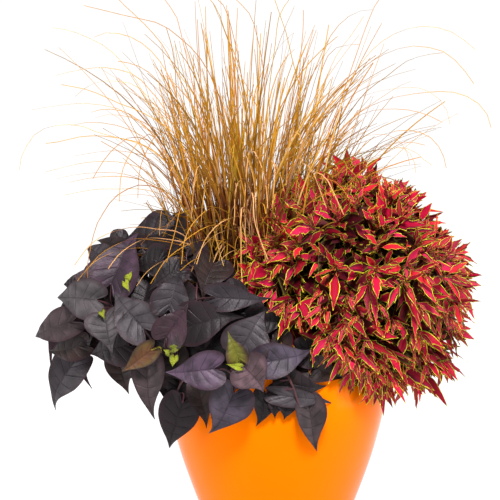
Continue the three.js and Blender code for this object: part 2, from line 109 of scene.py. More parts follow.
class Finish:
    """A material, built up node by node."""

    def __init__(self, name):
        self.material = bpy.data.materials.new(name)
        self.material.use_nodes = True
        self.tree = self.material.node_tree
        self.tree.nodes.clear()

    def node(self, kind, settings=None, sockets=None, output=0):
        """Adds a node with its settings, then the values or links of its sockets; returns one output."""
        made = self.tree.nodes.new(kind)
        for key, value in (settings or {}).items():
            setattr(made, key, value)
        for key, value in (sockets or {}).items():
            if isinstance(value, Signal):
                self.tree.links.new(value.socket, made.inputs[key])
            else:
                made.inputs[key].default_value = value
        return Signal(self, made.outputs[output])

    def mixed(self, share, first, second):
        """A colour between two, by share."""
        full = [c if isinstance(c, Signal) else (*c, 1) for c in (first, second)]
        settings = {"data_type": "RGBA", "clamp_factor": True}
        return self.node("ShaderNodeMix", settings, {0: share, 6: full[0], 7: full[1]}, 2)

    def noise(self, scale, detail=2.0, stretch=(1, 1, 1)):
        """Soft noise between 0 and 1 over the piece, in features per metre, stretched along an axis."""
        place = self.node("ShaderNodeTexCoord", output="Object")
        place = self.node("ShaderNodeMapping", sockets={"Vector": place, "Scale": stretch})
        return self.node("ShaderNodeTexNoise", sockets={"Vector": place, "Scale": scale, "Detail": detail})

    def painted(self, layer, part="Color"):
        """The colour that the piece's points hold in a layer, or its Alpha."""
        return self.node("ShaderNodeAttribute", {"attribute_name": layer}, output=part)

    def place(self, part):
        """One part, X or Y, of each point's place on its own surface."""
        place = self.node("ShaderNodeUVMap", {"uv_map": "place"})
        return self.node("ShaderNodeSeparateXYZ", sockets={0: place}, output=part)

    def bump(self, height, distance, strength=1.0):
        """Fine relief: distance is how far out of the surface a height of one stands."""
        sockets = {"Height": height, "Distance": distance, "Strength": strength}
        return self.node("ShaderNodeBump", sockets=sockets)

    def surface(self, **sockets):
        """Ends the finish in a Principled shader whose sockets are named with underscores for spaces."""
        named = {key.replace("_", " "): value for key, value in sockets.items()}
        shader = self.node("ShaderNodeBsdfPrincipled", sockets=named)
        end = self.tree.nodes.new("ShaderNodeOutputMaterial")
        self.tree.links.new(shader.socket, end.inputs["Surface"])
        return self.material


class Growth:
    """Surfaces gathered into one piece, with each point's place on its surface and its colours."""

    def __init__(self):
        self.points = []
        self.faces = []  # arrays of corner numbers, one row a face
        self.finish_numbers = []
        self.places = []
        self.tones = []
        self.trims = []
        self.count = 0

    def add(self, points, faces, place=None, tone=(1, 1, 1, 1), trim=(1, 1, 1, 1)):
        """Takes points, and groups of faces each with its finish's number. Place, tone and trim are one for
        all the points, or one for each."""
        n = len(points)
        self.points.append(points)
        for group, number in faces:
            self.faces.append(group + self.count)
            self.finish_numbers.append(np.full(len(group), number))
        self.places.append(np.zeros((n, 2)) if place is None else place)
        self.tones.append(np.broadcast_to(tone, (n, 4)))
        self.trims.append(np.broadcast_to(trim, (n, 4)))
        self.count += n

    def make(self, name, nodes, finishes, sharp=75):
        """The piece as a smooth mesh that stands for the nodes. Edges over the sharp angle stay crisp."""
        corners = np.concatenate([group.ravel() for group in self.faces])
        sizes = np.concatenate([np.full(len(group), group.shape[1]) for group in self.faces])
        mesh = bpy.data.meshes.new(name)
        mesh.vertices.add(self.count)
        mesh.vertices.foreach_set("co", np.concatenate(self.points).astype(np.float32).ravel())
        mesh.loops.add(len(corners))
        mesh.loops.foreach_set("vertex_index", corners.astype(np.int32))
        mesh.polygons.add(len(sizes))
        mesh.polygons.foreach_set("loop_start", (np.cumsum(sizes) - sizes).astype(np.int32))
        mesh.polygons.foreach_set("material_index", np.concatenate(self.finish_numbers).astype(np.int32))
        mesh.update(calc_edges=True)
        mesh.shade_smooth()
        mesh.set_sharp_from_angle(angle=np.radians(sharp))
        places = np.concatenate(self.places)[corners].astype(np.float32)
        mesh.uv_layers.new(name="place").data.foreach_set("uv", places.ravel())
        for layer, colors in (("tone", self.tones), ("trim", self.trims)):
            attribute = mesh.color_attributes.new(layer, "FLOAT_COLOR", "POINT")
            attribute.data.foreach_set("color", np.concatenate(colors).astype(np.float32).ravel())
        for finish in finishes:
            mesh.materials.append(finish)
        piece = bpy.data.objects.new(name, mesh)
        bpy.context.scene.collection.objects.link(piece)
        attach(piece, "root")
        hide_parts(*nodes)
        return piece


def curve_through(points, count):
    """Evenly spaced points on a smooth curve through the given ones. Between two of them it is a cubic whose
    end directions come from the neighbours, over knots at the square roots of the spans, so that short spans
    don't loop."""
    points = np.asarray(points, float)
    knots = np.append(0, np.cumsum(np.sqrt(np.linalg.norm(np.diff(points, axis=0), axis=1))))
    slope = np.gradient(points, knots, axis=0)
    u = np.linspace(0, knots[-1], CURVE_STEPS * len(points))
    k = np.clip(np.searchsorted(knots, u, side="right") - 1, 0, len(points) - 2)
    span = (knots[k + 1] - knots[k])[:, None]
    w = (u - knots[k])[:, None] / span
    fine = (1 + 2 * w) * (1 - w) ** 2 * points[k] + w**2 * (3 - 2 * w) * points[k + 1]
    fine += span * w * (1 - w) * ((1 - w) * slope[k] - w * slope[k + 1])
    walked = np.append(0, np.cumsum(np.linalg.norm(np.diff(fine, axis=0), axis=1)))
    at = np.linspace(0, walked[-1], count)
    return np.stack([np.interp(at, walked, fine[:, i]) for i in range(points.shape[1])], axis=1)


def ring_faces(rings, sides, count=1):
    """Faces of count skins over rings of points, closed round: four corners from two rings and two sides."""
    grid = np.arange(rings * sides).reshape(rings, sides)
    after = np.roll(grid, -1, axis=1)
    squares = np.stack([grid[:-1], after[:-1], after[1:], grid[1:]], axis=-1).reshape(-1, 4)
    return (squares + np.arange(count)[:, None, None] * rings * sides).reshape(-1, 4)


def turned(profile, sides):
    """A profile of radii and heights turned round the upright axis: x = r cos a, y = r sin a, z = height. Its
    first and last points are on the axis, and close the surface as poles."""
    angle = np.arange(sides) / sides * 2 * np.pi
    rings = np.asarray(profile)[1:-1]
    shape = (len(rings), sides)
    radius = rings[:, :1]
    height = np.broadcast_to(rings[:, 1:], shape)
    grid = np.stack([radius * np.cos(angle), radius * np.sin(angle), height], axis=-1).reshape(-1, 3)
    points = np.concatenate([grid, [[0, 0, profile[0][1]], [0, 0, profile[-1][1]]]])
    here = np.arange(sides)
    after = np.roll(here, -1)
    top = (len(rings) - 1) * sides
    first_cap = np.stack([np.full(sides, len(grid)), after, here], axis=-1)
    last_cap = np.stack([np.full(sides, len(grid) + 1), here + top, after + top], axis=-1)
    return points, [(ring_faces(len(rings), sides), 0), (first_cap, 0), (last_cap, 0)]


def arc(centre, radius, start, end, count):
    """Points of an arc of a profile: centre plus radius times cosine and sine of the angle, in degrees."""
    angle = np.radians(np.linspace(start, end, count))
    return np.asarray(centre) + radius * np.stack([np.cos(angle), np.sin(angle)], axis=1)


pot_wall = curve_through(POT_OUTLINE, WALL_POINTS)


def pot_radius(z):
    """The pot's outer radius at a height."""
    return np.interp(z, pot_wall[:, 1], pot_wall[:, 0])


def pot_profile():
    """From under the foot's middle up the outside, over the lip, down the inside and across the floor."""
    foot = arc([POT_OUTLINE[0][0] - FOOT_EDGE, FOOT_EDGE], FOOT_EDGE, -90, -20, 5)
    outside = pot_wall[pot_wall[:, 1] > FOOT_EDGE][:-1]
    lip_centre = [POT_OUTLINE[-1][0] - POT_WALL / 2, POT_OUTLINE[-1][1] - 0.001]
    lip = arc(lip_centre, POT_WALL / 2, 0, 180, 11)
    inside = (outside - [POT_WALL, 0])[::-1]
    inside = inside[inside[:, 1] > POT_FLOOR + FLOOR_CORNER]
    corner = [[pot_radius(POT_FLOOR) - POT_WALL - 0.001, POT_FLOOR + 0.001]]
    floor = [[r, POT_FLOOR] for r in (0.094, 0.08, 0.05, 0.02, 0.0)]
    base = [[r, 0.0] for r in (0.0, 0.03, 0.06, 0.09)]
    return np.concatenate([base, foot, outside, lip, inside, corner, floor])


def pot_finish():
    """Orange that clouds a little, with a faint orange peel, and scuffs that dull the gloss."""
    finish = Finish("glossy_orange_plastic")
    cloud = finish.noise(5.0, 3)
    peel = finish.noise(260.0, 1)
    scuff = finish.noise(40.0, 5, (1, 1, 0.3))
    color = finish.mixed(cloud, (0.76, 0.138, 0.0), (0.80, 0.157, 0.0))
    return finish.surface(
        Base_Color=color, Roughness=0.13 + 0.09 * scuff.step(0.45, 0.8),
        Normal=finish.bump(peel, 0.0006, 0.2), Specular_IOR_Level=0.09,
        Specular_Tint=(1.0, 0.45, 0.04, 1))


def drilled(piece):
    """Cuts the drain holes through the pot's floor with short rods, then drops the modifier and the rods."""
    rods = Growth()
    low, high = DRILL_ENDS
    outline = [[0, low], [DRAIN_RADIUS, low], [DRAIN_RADIUS, high], [0, high]]
    for k in range(DRAIN_HOLES):
        turn = np.radians((k + 0.5) * 360 / DRAIN_HOLES)
        points, faces = turned(outline, DRILL_SIDES)
        rods.add(points + [DRAIN_CIRCLE * np.cos(turn), DRAIN_CIRCLE * np.sin(turn), 0], faces)
    drill = rods.make("drain_hole_drill", [], [])
    cut = piece.modifiers.new("drain_holes", "BOOLEAN")
    cut.operation = "DIFFERENCE"
    cut.solver = "EXACT"
    cut.object = drill
    whole = piece.evaluated_get(bpy.context.evaluated_depsgraph_get())
    mesh = bpy.data.meshes.new_from_object(whole)
    piece.modifiers.clear()
    piece.data = mesh
    bpy.data.objects.remove(drill)
    mesh.shade_smooth()
    mesh.set_sharp_from_angle(angle=np.radians(40))


pot_growth = Growth()
pot_growth.add(*turned(pot_profile(), POT_SIDES))
glossy_pot = pot_growth.make("glossy_pot", ["pot"], [pot_finish()], sharp=40)
drilled(glossy_pot)

# ---- Potting soil ----
# Dark peat with bark crumbs and a few white grains of perlite, filled in loosely up to a finger's width under
# the rim. Its top is lumpy, and it rests on the pot's floor.

SOIL_TOP = 0.285
SOIL_GAP = 0.0003  # from the pot's wall
SOIL_WAVES = 26  # that add up to its lumps
SHORTEST_WAVE = 0.009
WAVE_RANGE = 60 / 9  # longest wave to shortest
WAVE_HEIGHT = 0.035  # as a share of its length
LUMPY_REACH = 0.168  # radius out to which the top is lumpy
SOIL_RINGS = 56  # over the top
CRUMBS = 420
CRUMB_REACH = 0.16
CRUMB_SIZES = 0.0012, 0.0036
CRUMB_LIFT = 0.0006  # of its middle over the soil
WHITE_CRUMBS = 0.1  # the share of them that is perlite
PEAT = (0.045, 0.024, 0.014, 1)
BARK = [0.07, 0.035, 0.018, 1]
PERLITE = [0.62, 0.6, 0.55, 1]


def lumps(x, y):
    """Heights of loose soil: a sum of sine waves of random direction and length, the long ones higher."""
    rng = np.random.default_rng(5)
    angle = rng.uniform(0, 2 * np.pi, SOIL_WAVES)
    length = SHORTEST_WAVE * WAVE_RANGE ** rng.uniform(0, 1, SOIL_WAVES)
    phase = rng.uniform(0, 2 * np.pi, SOIL_WAVES)
    travel = x[..., None] * np.cos(angle) + y[..., None] * np.sin(angle)
    return (length * WAVE_HEIGHT * np.sin(2 * np.pi * travel / length + phase)).sum(axis=-1)


def crumbs(count, seed):
    """Closed grains of eight faces: six corners of a cross, each arm of a random length, turned at random."""
    rng = np.random.default_rng(seed)
    corners = np.concatenate([np.eye(3), -np.eye(3)])
    size = rng.uniform(*CRUMB_SIZES, (count, 1, 1)) * rng.uniform(0.5, 1.3, (count, 6, 1))
    turn = np.linalg.qr(rng.normal(size=(count, 3, 3)))[0]
    turn *= np.sign(np.linalg.det(turn))[:, None, None]
    local = (corners * size) @ turn
    radius = CRUMB_REACH * np.sqrt(rng.uniform(0, 1, count))
    angle = rng.uniform(0, 2 * np.pi, count)
    x, y = radius * np.cos(angle), radius * np.sin(angle)
    middle = np.stack([x, y, SOIL_TOP + lumps(x, y) + CRUMB_LIFT], axis=-1)
    upper = [[0, 1, 2], [1, 3, 2], [3, 4, 2], [4, 0, 2]]
    lower = [[1, 0, 5], [3, 1, 5], [4, 3, 5], [0, 4, 5]]
    sides = np.array(upper + lower)
    faces = (sides + np.arange(count)[:, None, None] * 6).reshape(-1, 3)
    shade = rng.uniform(0, 1, (count, 1))
    tone = np.where(shade > 1 - WHITE_CRUMBS, [PERLITE], [BARK] * (0.5 + shade))
    return (local + middle[:, None]).reshape(-1, 3), [(faces, 0)], None, np.repeat(tone, 6, axis=0)


def soil_finish():
    """The grains' own tones, darkened in patches, with a coarse and a fine relief."""
    finish = Finish("peat_and_bark")
    tone = finish.painted("tone")
    coarse = finish.noise(160.0, 6)
    fine = finish.noise(900.0, 3)
    dark = finish.mixed(coarse.step(0.35, 0.65), (0.25, 0.22, 0.2), (1.0, 1.0, 1.0))
    settings = {"data_type": "RGBA", "blend_type": "MULTIPLY"}
    color = finish.node("ShaderNodeMix", settings, {0: 1.0, 6: tone, 7: dark}, 2)
    return finish.surface(
        Base_Color=color, Roughness=0.85 + 0.1 * fine, Normal=finish.bump(coarse + 0.4 * fine, 0.002),
        Specular_IOR_Level=0.25)


def soil_profile():
    """From under its middle on the pot's floor, up along the wall, and over the top to the middle."""
    inner = pot_wall - [POT_WALL + SOIL_GAP, 0]
    side = inner[(inner[:, 1] > POT_FLOOR + FLOOR_CORNER) & (inner[:, 1] < SOIL_TOP - 0.003)]
    base = [[r, POT_FLOOR + SOIL_GAP] for r in (0, 0.05, 0.0985)]
    edge = [[pot_radius(SOIL_TOP) - POT_WALL - 0.0015, SOIL_TOP]]
    top = [[r, SOIL_TOP] for r in np.linspace(0.165, 0.0, SOIL_RINGS)]
    return np.concatenate([base, side, edge, top])


soil_growth = Growth()
soil_points, soil_faces = turned(soil_profile(), POT_SIDES)
soil_x, soil_y, soil_z = soil_points.T
on_top = (soil_z > SOIL_TOP - 1e-6) & (np.hypot(soil_x, soil_y) < LUMPY_REACH)
soil_points[on_top, 2] += lumps(soil_x[on_top], soil_y[on_top])
soil_growth.add(soil_points, soil_faces, tone=PEAT)
soil_growth.add(*crumbs(CRUMBS, 8))
soil_growth.make("loose_soil", ["potting_soil"], [soil_finish()], sharp=50)

# ---- Bronze sedge ----
# Four tufts that grow from one crown, each of thin, stiff, folded blades, gold to bronze, dark at the crown
# from old sheaths and painted shade. They lean out and arch over to all sides and cross each other; some hang
# down over the other plants.

SEDGE_CROWN = np.array([-0.045, 0.035, SOIL_TOP])
SEDGE_BLADES = 205  # in each tuft
OLD_BLADES = 190  # short dead ones low in each tuft, besides
OLD_STATIONS = 7
SHEAVES = 12  # bunches that a tuft's blades stand in
CROWN_RADII = np.array([0.088, 0.062])  # of the oval of soil that the blades come out of
ROOT_DEPTH = 0.004  # of the blades in the soil
UPRIGHT_SHARE = 0.64  # of a tuft's blades
ARCHING_SHARE = 0.23  # and the rest are hooked
BLADE_STATIONS = 18
LAID_STATIONS = 32  # in the blades laid out singly
BLADE_WIDTH = 0.0033
KEEL = 0.66  # how far back a blade's fold is, as a share of half its width
# Tan, gold, bronze, rust, brown, straw, olive and the pink tan of a blade's back.
BLADE_TONES = np.array([
    [0.39, 0.155, 0.020], [0.45, 0.200, 0.020], [0.25, 0.074, 0.010], [0.34, 0.090, 0.018],
    [0.10, 0.030, 0.006], [0.58, 0.340, 0.120], [0.25, 0.155, 0.018], [0.50, 0.250, 0.138]])
BLADE_TONE_SHARES = [0.20, 0.18, 0.16, 0.09, 0.22, 0.05, 0.05, 0.05]
OLD_TONE = np.array([0.044, 0.014, 0.009])
BACK_TONE = 7  # the number of the pink tan
HOOKED_TONES = [0, 1, 3, 5, 7, 7]  # numbers of the tones of the hooked blades
# Shares of the full width of the blades laid out singly, by the number of their tone, and of the finer ones
# beside them; then how far these part from them, and the least and most that they are stretched, each way.
LAID_GIRTHS = [0.75, 0.75, 0.75, 0.75, 0.8, 0.55, 0.8, 0.95]
FINER_GIRTHS = 0.4, 0.7
PARTING = [0.010, 0.008, 0.0]
STRETCH = [0.55, 0.75, 0.72], [1.25, 1.05, 1.06]
SHADE_HEIGHT = 0.37  # over the soil, up to which blades stand in each other's shade
SHADE_REACH = 0.17  # and out to which, from the crown's middle
SHADE_FADES = 0.17, 0.07  # lengths over which it fades, up and out
TUFT_SEEDS = [77, 132, 55, 103]
BOX_MARGIN = 0.012  # that a blade may pass the frame's box by
VIEW_DROP = np.radians(8)  # the front elevation, in which front pieces are laid out, looks down by this
VIEW_DISTANCE = 4.0
POT_HEIGHT = POT_OUTLINE[-1][1]
MILLIMETRE = 0.001

# Blades laid out singly: the number of their tone, how far out the tip is in front of the pot's axis, and
# points of (across, up) from the rim's centre in the front elevation, all in millimetres.
LAID_BLADES = [
    (3, 40, [39, 193, 76, 343, 106, 427, 126, 486, 143, 536, 160, 578, 170, 593]),
    (0, 20, [14, 327, 39, 410, 64, 477, 90, 531, 115, 558, 140, 570, 157, 571]),
    (0, 60, [39, 310, 81, 410, 123, 461, 165, 494, 207, 511, 232, 513, 274, 504, 299, 484, 324, 452]),
    (5, -60, [48, 343, 115, 444, 157, 503, 198, 531, 240, 541, 282, 534, 307, 519, 327, 503]),
    (2, 0, [23, 310, 56, 394, 73, 469, 90, 503, 106, 511, 135, 514]),
    (4, -30, [56, 310, 115, 394, 148, 436, 182, 461, 215, 486, 249, 496, 274, 499]),
    (1, 50, [73, 327, 123, 394, 165, 424, 190, 441, 207, 451, 220, 456]),
    (7, -20, [73, 318, 131, 397, 173, 420, 207, 429, 274, 436, 304, 432, 324, 422, 341, 409, 351, 390,
          354, 377]),
    (3, 60, [64, 293, 106, 369, 140, 402, 165, 409, 207, 410, 240, 404, 271, 390]),
    (0, -40, [56, 276, 106, 335, 157, 358, 182, 367, 207, 372, 232, 370, 257, 358, 274, 335, 281, 310]),
    (3, 20, [73, 285, 115, 330, 148, 340, 173, 348, 198, 353, 219, 355, 245, 350]),
    (5, 40, [90, 285, 140, 330, 182, 343, 207, 347, 220, 337, 227, 323, 230, 305]),
    (5, -30, [90, 293, 148, 335, 190, 343, 224, 340, 240, 327, 257, 315]),
    (6, 0, [-24, 260, -14, 427, -3, 511, 4, 561, 23, 591]),
    (6, 20, [31, 310, 39, 427, 24, 494, 14, 536, 6, 558, -6, 593]),
    (3, 10, [14, 260, 33, 410, 39, 494, 43, 544, 43, 570]),
    (5, -40, [31, 293, 64, 410, 98, 494, 123, 528, 143, 558]),
    (4, 40, [56, 310, 90, 402, 123, 452, 153, 494]),
    (0, 20, [-103, 260, -137, 410, -162, 461, -187, 511, -212, 541, -229, 558, -254, 581, -265, 593]),
    (3, -10, [-103, 276, -128, 394, -145, 477, -157, 528, -165, 558, -187, 590]),
    (2, -40, [-70, 293, -95, 427, -120, 481, -145, 511, -170, 531, -187, 544, -212, 551, -245, 558,
          -316, 575]),
    (0, 10, [-137, 310, -170, 410, -195, 452, -212, 469, -229, 479, -245, 484, -262, 487]),
    (7, -60, [-145, 310, -187, 410, -212, 441, -232, 461, -262, 471, -287, 474, -312, 472, -338, 467,
          -363, 461]),
    (1, 60, [-128, 276, -170, 369, -204, 394, -232, 409, -262, 420, -287, 432, -312, 442, -356, 451]),
    (5, -50, [-170, 343, -212, 427, -237, 447, -262, 452, -287, 452, -304, 447, -321, 437, -332, 427]),
    (0, -20, [-170, 310, -215, 377, -232, 392, -249, 402, -271, 407, -287, 407, -307, 402]),
    (5, -20, [-137, 226, -162, 293, -212, 343, -262, 360, -296, 369, -321, 379, -346, 382, -371, 379,
          -396, 370, -406, 357, -418, 340, -425, 320, -426, 307]),
    (1, 70, [-153, 260, -187, 327, -229, 355, -262, 363, -296, 367, -329, 365, -359, 358, -383, 355]),
    (2, 30, [-145, 218, -178, 260, -204, 293, -237, 322, -262, 340, -291, 357]),
    (5, 0, [-145, 218, -178, 263, -212, 302, -245, 318, -296, 322, -329, 318, -363, 310, -383, 305]),
    (7, 90, [-145, 243, -187, 343, -204, 367, -217, 370, -237, 348, -250, 327, -259, 302, -262, 260]),
    (3, 100, [-153, 260, -195, 343, -220, 363, -245, 365, -265, 352, -282, 335, -296, 315, -306, 298]),
    (3, 85, [-145, 235, -187, 276, -212, 285, -229, 286, -245, 281, -271, 265, -287, 243, -299, 223,
          -312, 176, -317, 142, -312, 109]),
    (7, 130, [-153, 201, -204, 214, -229, 218, -254, 216, -279, 209, -304, 196, -321, 179, -338, 156]),
    (7, 140, [-128, 176, -195, 199, -220, 199, -245, 188, -265, 173, -282, 151]),
    (5, -10, [-153, 235, -195, 268, -229, 276, -262, 276, -296, 276, -329, 271, -354, 266]),
    (7, -40, [-170, 251, -212, 285, -245, 295, -296, 295, -321, 291, -343, 286]),
    (4, 0, [-103, 293, -111, 410, -115, 469, -120, 519, -125, 549]),
    (4, 20, [-153, 310, -165, 427, -168, 477, -173, 511, -182, 541]),
    (6, 0, [-44, 327, -56, 452, -68, 494, -83, 528, -98, 570, -115, 593]),
    (2, 30, [-44, 343, -56, 444, -64, 494, -76, 544, -86, 575, -103, 593]),
    (2, -20, [-24, 343, -21, 461, -31, 519, -44, 561, -75, 593]),
    (0, 10, [-75, 293, -78, 394, -76, 461, -80, 528, -83, 578]),
    (7, -30, [-153, 377, -178, 461, -204, 499, -229, 519, -254, 529, -282, 531, -301, 524]),
    (5, -70, [-162, 327, -212, 419, -237, 461, -262, 491, -287, 511, -312, 523, -338, 533, -368, 538]),
    (6, 105, [-56, 226, -59, 343, -66, 374, -73, 343, -80, 251, -86, 131]),
    (7, 100, [-24, 226, -34, 327, -44, 348, -51, 313, -54, 271, -56, 243]),
    (7, 110, [-61, 226, -56, 327, -44, 347, -31, 330, -21, 298, -16, 250]),
    (7, 100, [-53, 276, -44, 327, -31, 337, -9, 327, 4, 307, 11, 278]),
    (7, 70, [14, 260, 19, 343, 29, 375, 39, 365, 41, 340]),
    (7, 110, [-24, 260, -14, 318, -8, 330, -4, 310, -6, 285, -9, 250]),
    (7, 100, [-108, 260, -116, 313, -128, 323, -137, 298, -140, 271, -142, 243]),
    (5, 110, [-95, 243, -101, 302, -111, 313, -120, 291, -123, 256]),
    (7, 80, [-95, 276, -108, 323, -125, 332, -150, 332, -170, 323, -177, 310]),
    (0, 110, [-108, 243, -120, 307, -135, 317, -153, 298, -160, 271, -158, 250]),
    (7, 120, [-41, 226, -49, 290, -61, 298, -70, 278, -71, 243, -73, 223]),
    (7, 130, [-41, 193, -48, 246, -58, 253, -61, 229, -61, 159]),
    (7, 135, [-54, 193, -49, 260, -41, 275, -38, 229, -16, 166]),
    (7, 150, [-44, 193, -51, 233, -61, 238, -96, 226, -121, 198, -135, 159]),
    (0, 150, [-91, 201, -100, 243, -111, 250, -138, 229, -155, 198, -160, 159]),
    (0, 160, [-56, 156, -73, 184, -103, 198, -142, 194, -183, 169, -212, 127]),
    (7, 120, [31, 260, 43, 302, 58, 310, 78, 302, 95, 271, 110, 240]),
    (5, 150, [-106, 168, -115, 213, -108, 219, -100, 191, -90, 156]),
    (2, 150, [-145, 193, -152, 246, -160, 253, -170, 214, -185, 162]),
    (7, 90, [-81, 251, -88, 296, -81, 307, -71, 300, -68, 276]),
]


def in_view(across, up, out):
    """The point that shows at (across, up) from the rim's centre in the front elevation, out in front."""
    near = 1 - out / VIEW_DISTANCE
    rise = (up * near + out * np.sin(VIEW_DROP)) / np.cos(VIEW_DROP)
    return np.array([across * near, -out, POT_HEIGHT + rise])


def unit(v):
    """Vectors brought to length one."""
    return v / np.maximum(np.linalg.norm(v, axis=-1, keepdims=True), 1e-12)


def folded_strips(path, across, width):
    """Strips with a flat triangle as section, carried along paths: two edges half a width to each side, and a
    keel between them set back along the strip's own normal by a third of the width."""
    tangent = unit(np.gradient(path, axis=1))
    side = unit(across - (across * tangent).sum(-1, keepdims=True) * tangent)
    back = np.cross(side, tangent)
    half = (width / 2)[..., None]
    rings = np.stack([path - side * half, path + side * half, path + back * half * KEEL], axis=2)
    count, stations = path.shape[:2]
    starts = np.arange(count)[:, None] * stations * 3
    first_cap = starts + np.array([0, 2, 1])
    last_cap = starts + (stations - 1) * 3 + np.array([0, 1, 2])
    faces = ring_faces(stations, 3, count)
    return rings.reshape(-1, 3), [(faces, 0), (first_cap, 0), (last_cap, 0)]


def arching_paths(root, azimuth, lean, bend, begin, finish, sweep, length, stations=BLADE_STATIONS):
    """Paths of blades: the angle from upright grows from lean to bend by a smooth step over the share of the
    length from begin to finish, while the heading turns by sweep. A path is the running sum of its steps."""
    share = np.linspace(0, 1, stations)
    ramp = np.clip((share - begin[:, None]) / (finish - begin)[:, None], 0, 1)
    tilt = lean[:, None] + (bend - lean)[:, None] * ramp**2 * (3 - 2 * ramp)
    heading = azimuth[:, None] + sweep[:, None] * share
    flat = np.sin(tilt)
    step = np.stack([flat * np.cos(heading), flat * np.sin(heading), np.cos(tilt)], axis=-1)
    walked = np.cumsum(step[:, :-1] * (length / (stations - 1))[:, None, None], axis=1)
    return root[:, None] + np.concatenate([np.zeros((len(root), 1, 3)), walked], axis=1)


def shares_inside(paths):
    """The largest share of each path, from its root, that stays inside the frame's box and its margin."""
    low = np.array(cad_box[0]) - BOX_MARGIN
    high = np.array(cad_box[1]) + BOX_MARGIN
    inside = np.all((paths > low) & (paths < high), axis=2)
    return np.where(inside.all(axis=1), 1.0, np.argmin(inside, axis=1) / BLADE_STATIONS)


def blade_tones(kind, rng):
    """A tone for each blade, by its number in the list of tones, varied a little in lightness."""
    return BLADE_TONES[kind] * rng.uniform(0.7, 1.25, (len(kind), 1))


def crown_shade(path, hooked, rng):
    """How dark the blades are at each point, as painted shade and the brown of old sheaths: most low down
    among the others, and not at all over or out of the reach of their shade, some blades less than others.
    Hooked blades are dark near the root only."""
    low = np.clip((SHADE_HEIGHT - path[..., 2] + SOIL_TOP) / SHADE_FADES[0], 0, 1)
    away = np.linalg.norm(path[..., :2] - SEDGE_CROWN[:2], axis=-1)
    near = np.clip((SHADE_REACH - away) / SHADE_FADES[1], 0, 1)
    bare = np.clip((0.45 - np.linspace(0, 1, path.shape[1])) / 0.25, 0.08, 1)
    strength = np.clip(rng.uniform(0.4, 1.7, (len(path), 1)), 0, 1)
    return low**2 * (3 - 2 * low) * near * np.where(hooked[:, None], bare, strength)


def crown_roots(around, spread):
    """Points just under the soil in the crown's oval: at an angle round it, and a share of the way out."""
    flat = np.stack([np.cos(around), np.sin(around)], axis=-1) * CROWN_RADII * spread[:, None]
    return SEDGE_CROWN + np.column_stack([flat, np.full(len(around), -ROOT_DEPTH)])


def level(turn):
    """Level vectors of length one at the angles of turn, one for all the points of each blade."""
    return np.stack([np.cos(turn), np.sin(turn), np.zeros(len(turn))], axis=-1)[:, None]


def sedge_tuft(quarter):
    """One tuft: its blades are rooted in sheaves in a quarter of the crown, and lean out the more the further
    from its middle they stand. Most stand up and nod, about a quarter arch right over, and the rest hook
    down. Those on the left keep closer to the clump."""
    rng = np.random.default_rng(TUFT_SEEDS[quarter])
    n = SEDGE_BLADES
    sheaf = rng.integers(0, SHEAVES, n)
    around = (quarter * np.pi / 2 + rng.uniform(-0.85, 0.85, SHEAVES))[sheaf] + rng.normal(0, 0.22, n)
    spread = np.sqrt(rng.uniform(0.01, 1, SHEAVES))[sheaf] + rng.normal(0, 0.12, n)
    spread = np.clip(spread, 0, 1)
    root = crown_roots(around, spread)
    azimuth = around + rng.normal(0, 0.45, SHEAVES)[sheaf] + rng.normal(0, 0.35, n)
    kind = rng.uniform(0, 1, n)
    hooked = kind >= UPRIGHT_SHARE + ARCHING_SHARE
    kinds = [hooked, kind < UPRIGHT_SHARE]
    calm = np.clip(-np.cos(azimuth), 0, 1)
    lean = np.radians(np.abs(1 + 11 * spread + rng.normal(0, 3.5, n))) * (1 - 0.22 * calm)
    upright = lean + np.radians(4 + 76 * rng.uniform(0, 1, n) ** 1.4) * (1 - 0.22 * calm)
    arching = np.radians(rng.uniform(72, 122, n))
    bend = np.select(kinds, [np.radians(rng.uniform(145, 174, n)), upright], arching)
    begin = np.where(hooked, rng.uniform(0.36, 0.55, n), rng.uniform(0.1, 0.4, n))
    finish = np.select(kinds, [begin + 0.48, np.full(n, 1.1)], np.full(n, 1.05))
    lengths = [rng.uniform(0.26, 0.40, n), rng.triangular(0.28, 0.50, 0.68, n)]
    length = np.select(kinds, lengths, rng.uniform(0.28, 0.54, n) * (1 - 0.4 * calm))
    sweep = rng.normal(0, 0.5, n)
    length = length * shares_inside(arching_paths(root, azimuth, lean, bend, begin, finish, sweep, length))
    path = arching_paths(root, azimuth, lean, bend, begin, finish, sweep, length)
    across = level(azimuth + np.pi / 2 + rng.normal(0, 0.7, n))
    share = np.linspace(0, 1, BLADE_STATIONS)
    width = BLADE_WIDTH * rng.uniform(0.5, 1.1, n)[:, None] * (1 - 0.58 * share**3.5)
    hooked_number = rng.choice(HOOKED_TONES, n)
    other_number = rng.choice(len(BLADE_TONES), n, p=BLADE_TONE_SHARES)
    number = np.where(hooked, hooked_number, other_number)
    return path, across, width, blade_tones(number, rng), crown_shade(path, hooked, rng)


def old_blades(quarter):
    """A tuft's dead blades: short, dark, nearly straight, and crowded all over its quarter of the crown."""
    rng = np.random.default_rng(60 + quarter)
    n = OLD_BLADES
    around = quarter * np.pi / 2 + rng.uniform(-0.9, 0.9, n)
    spread = np.sqrt(rng.uniform(0, 1, n))
    root = crown_roots(around, spread)
    lean = np.radians(np.abs(9 * spread + rng.normal(0, 5, n)))
    bend = lean + np.radians(rng.uniform(0, 30, n))
    path = arching_paths(root, around + rng.normal(0, 0.6, n), lean, bend, np.zeros(n), np.ones(n),
                         rng.normal(0, 0.5, n), rng.triangular(0.10, 0.16, 0.34, n), OLD_STATIONS)
    across = level(rng.uniform(0, np.pi, n))
    width = BLADE_WIDTH * rng.uniform(0.7, 1.3, n)[:, None] * np.linspace(1, 0.4, OLD_STATIONS)
    tone = OLD_TONE * rng.uniform(0.5, 2.4, (n, 1))
    return path, across, width, tone, np.zeros((n, OLD_STATIONS))


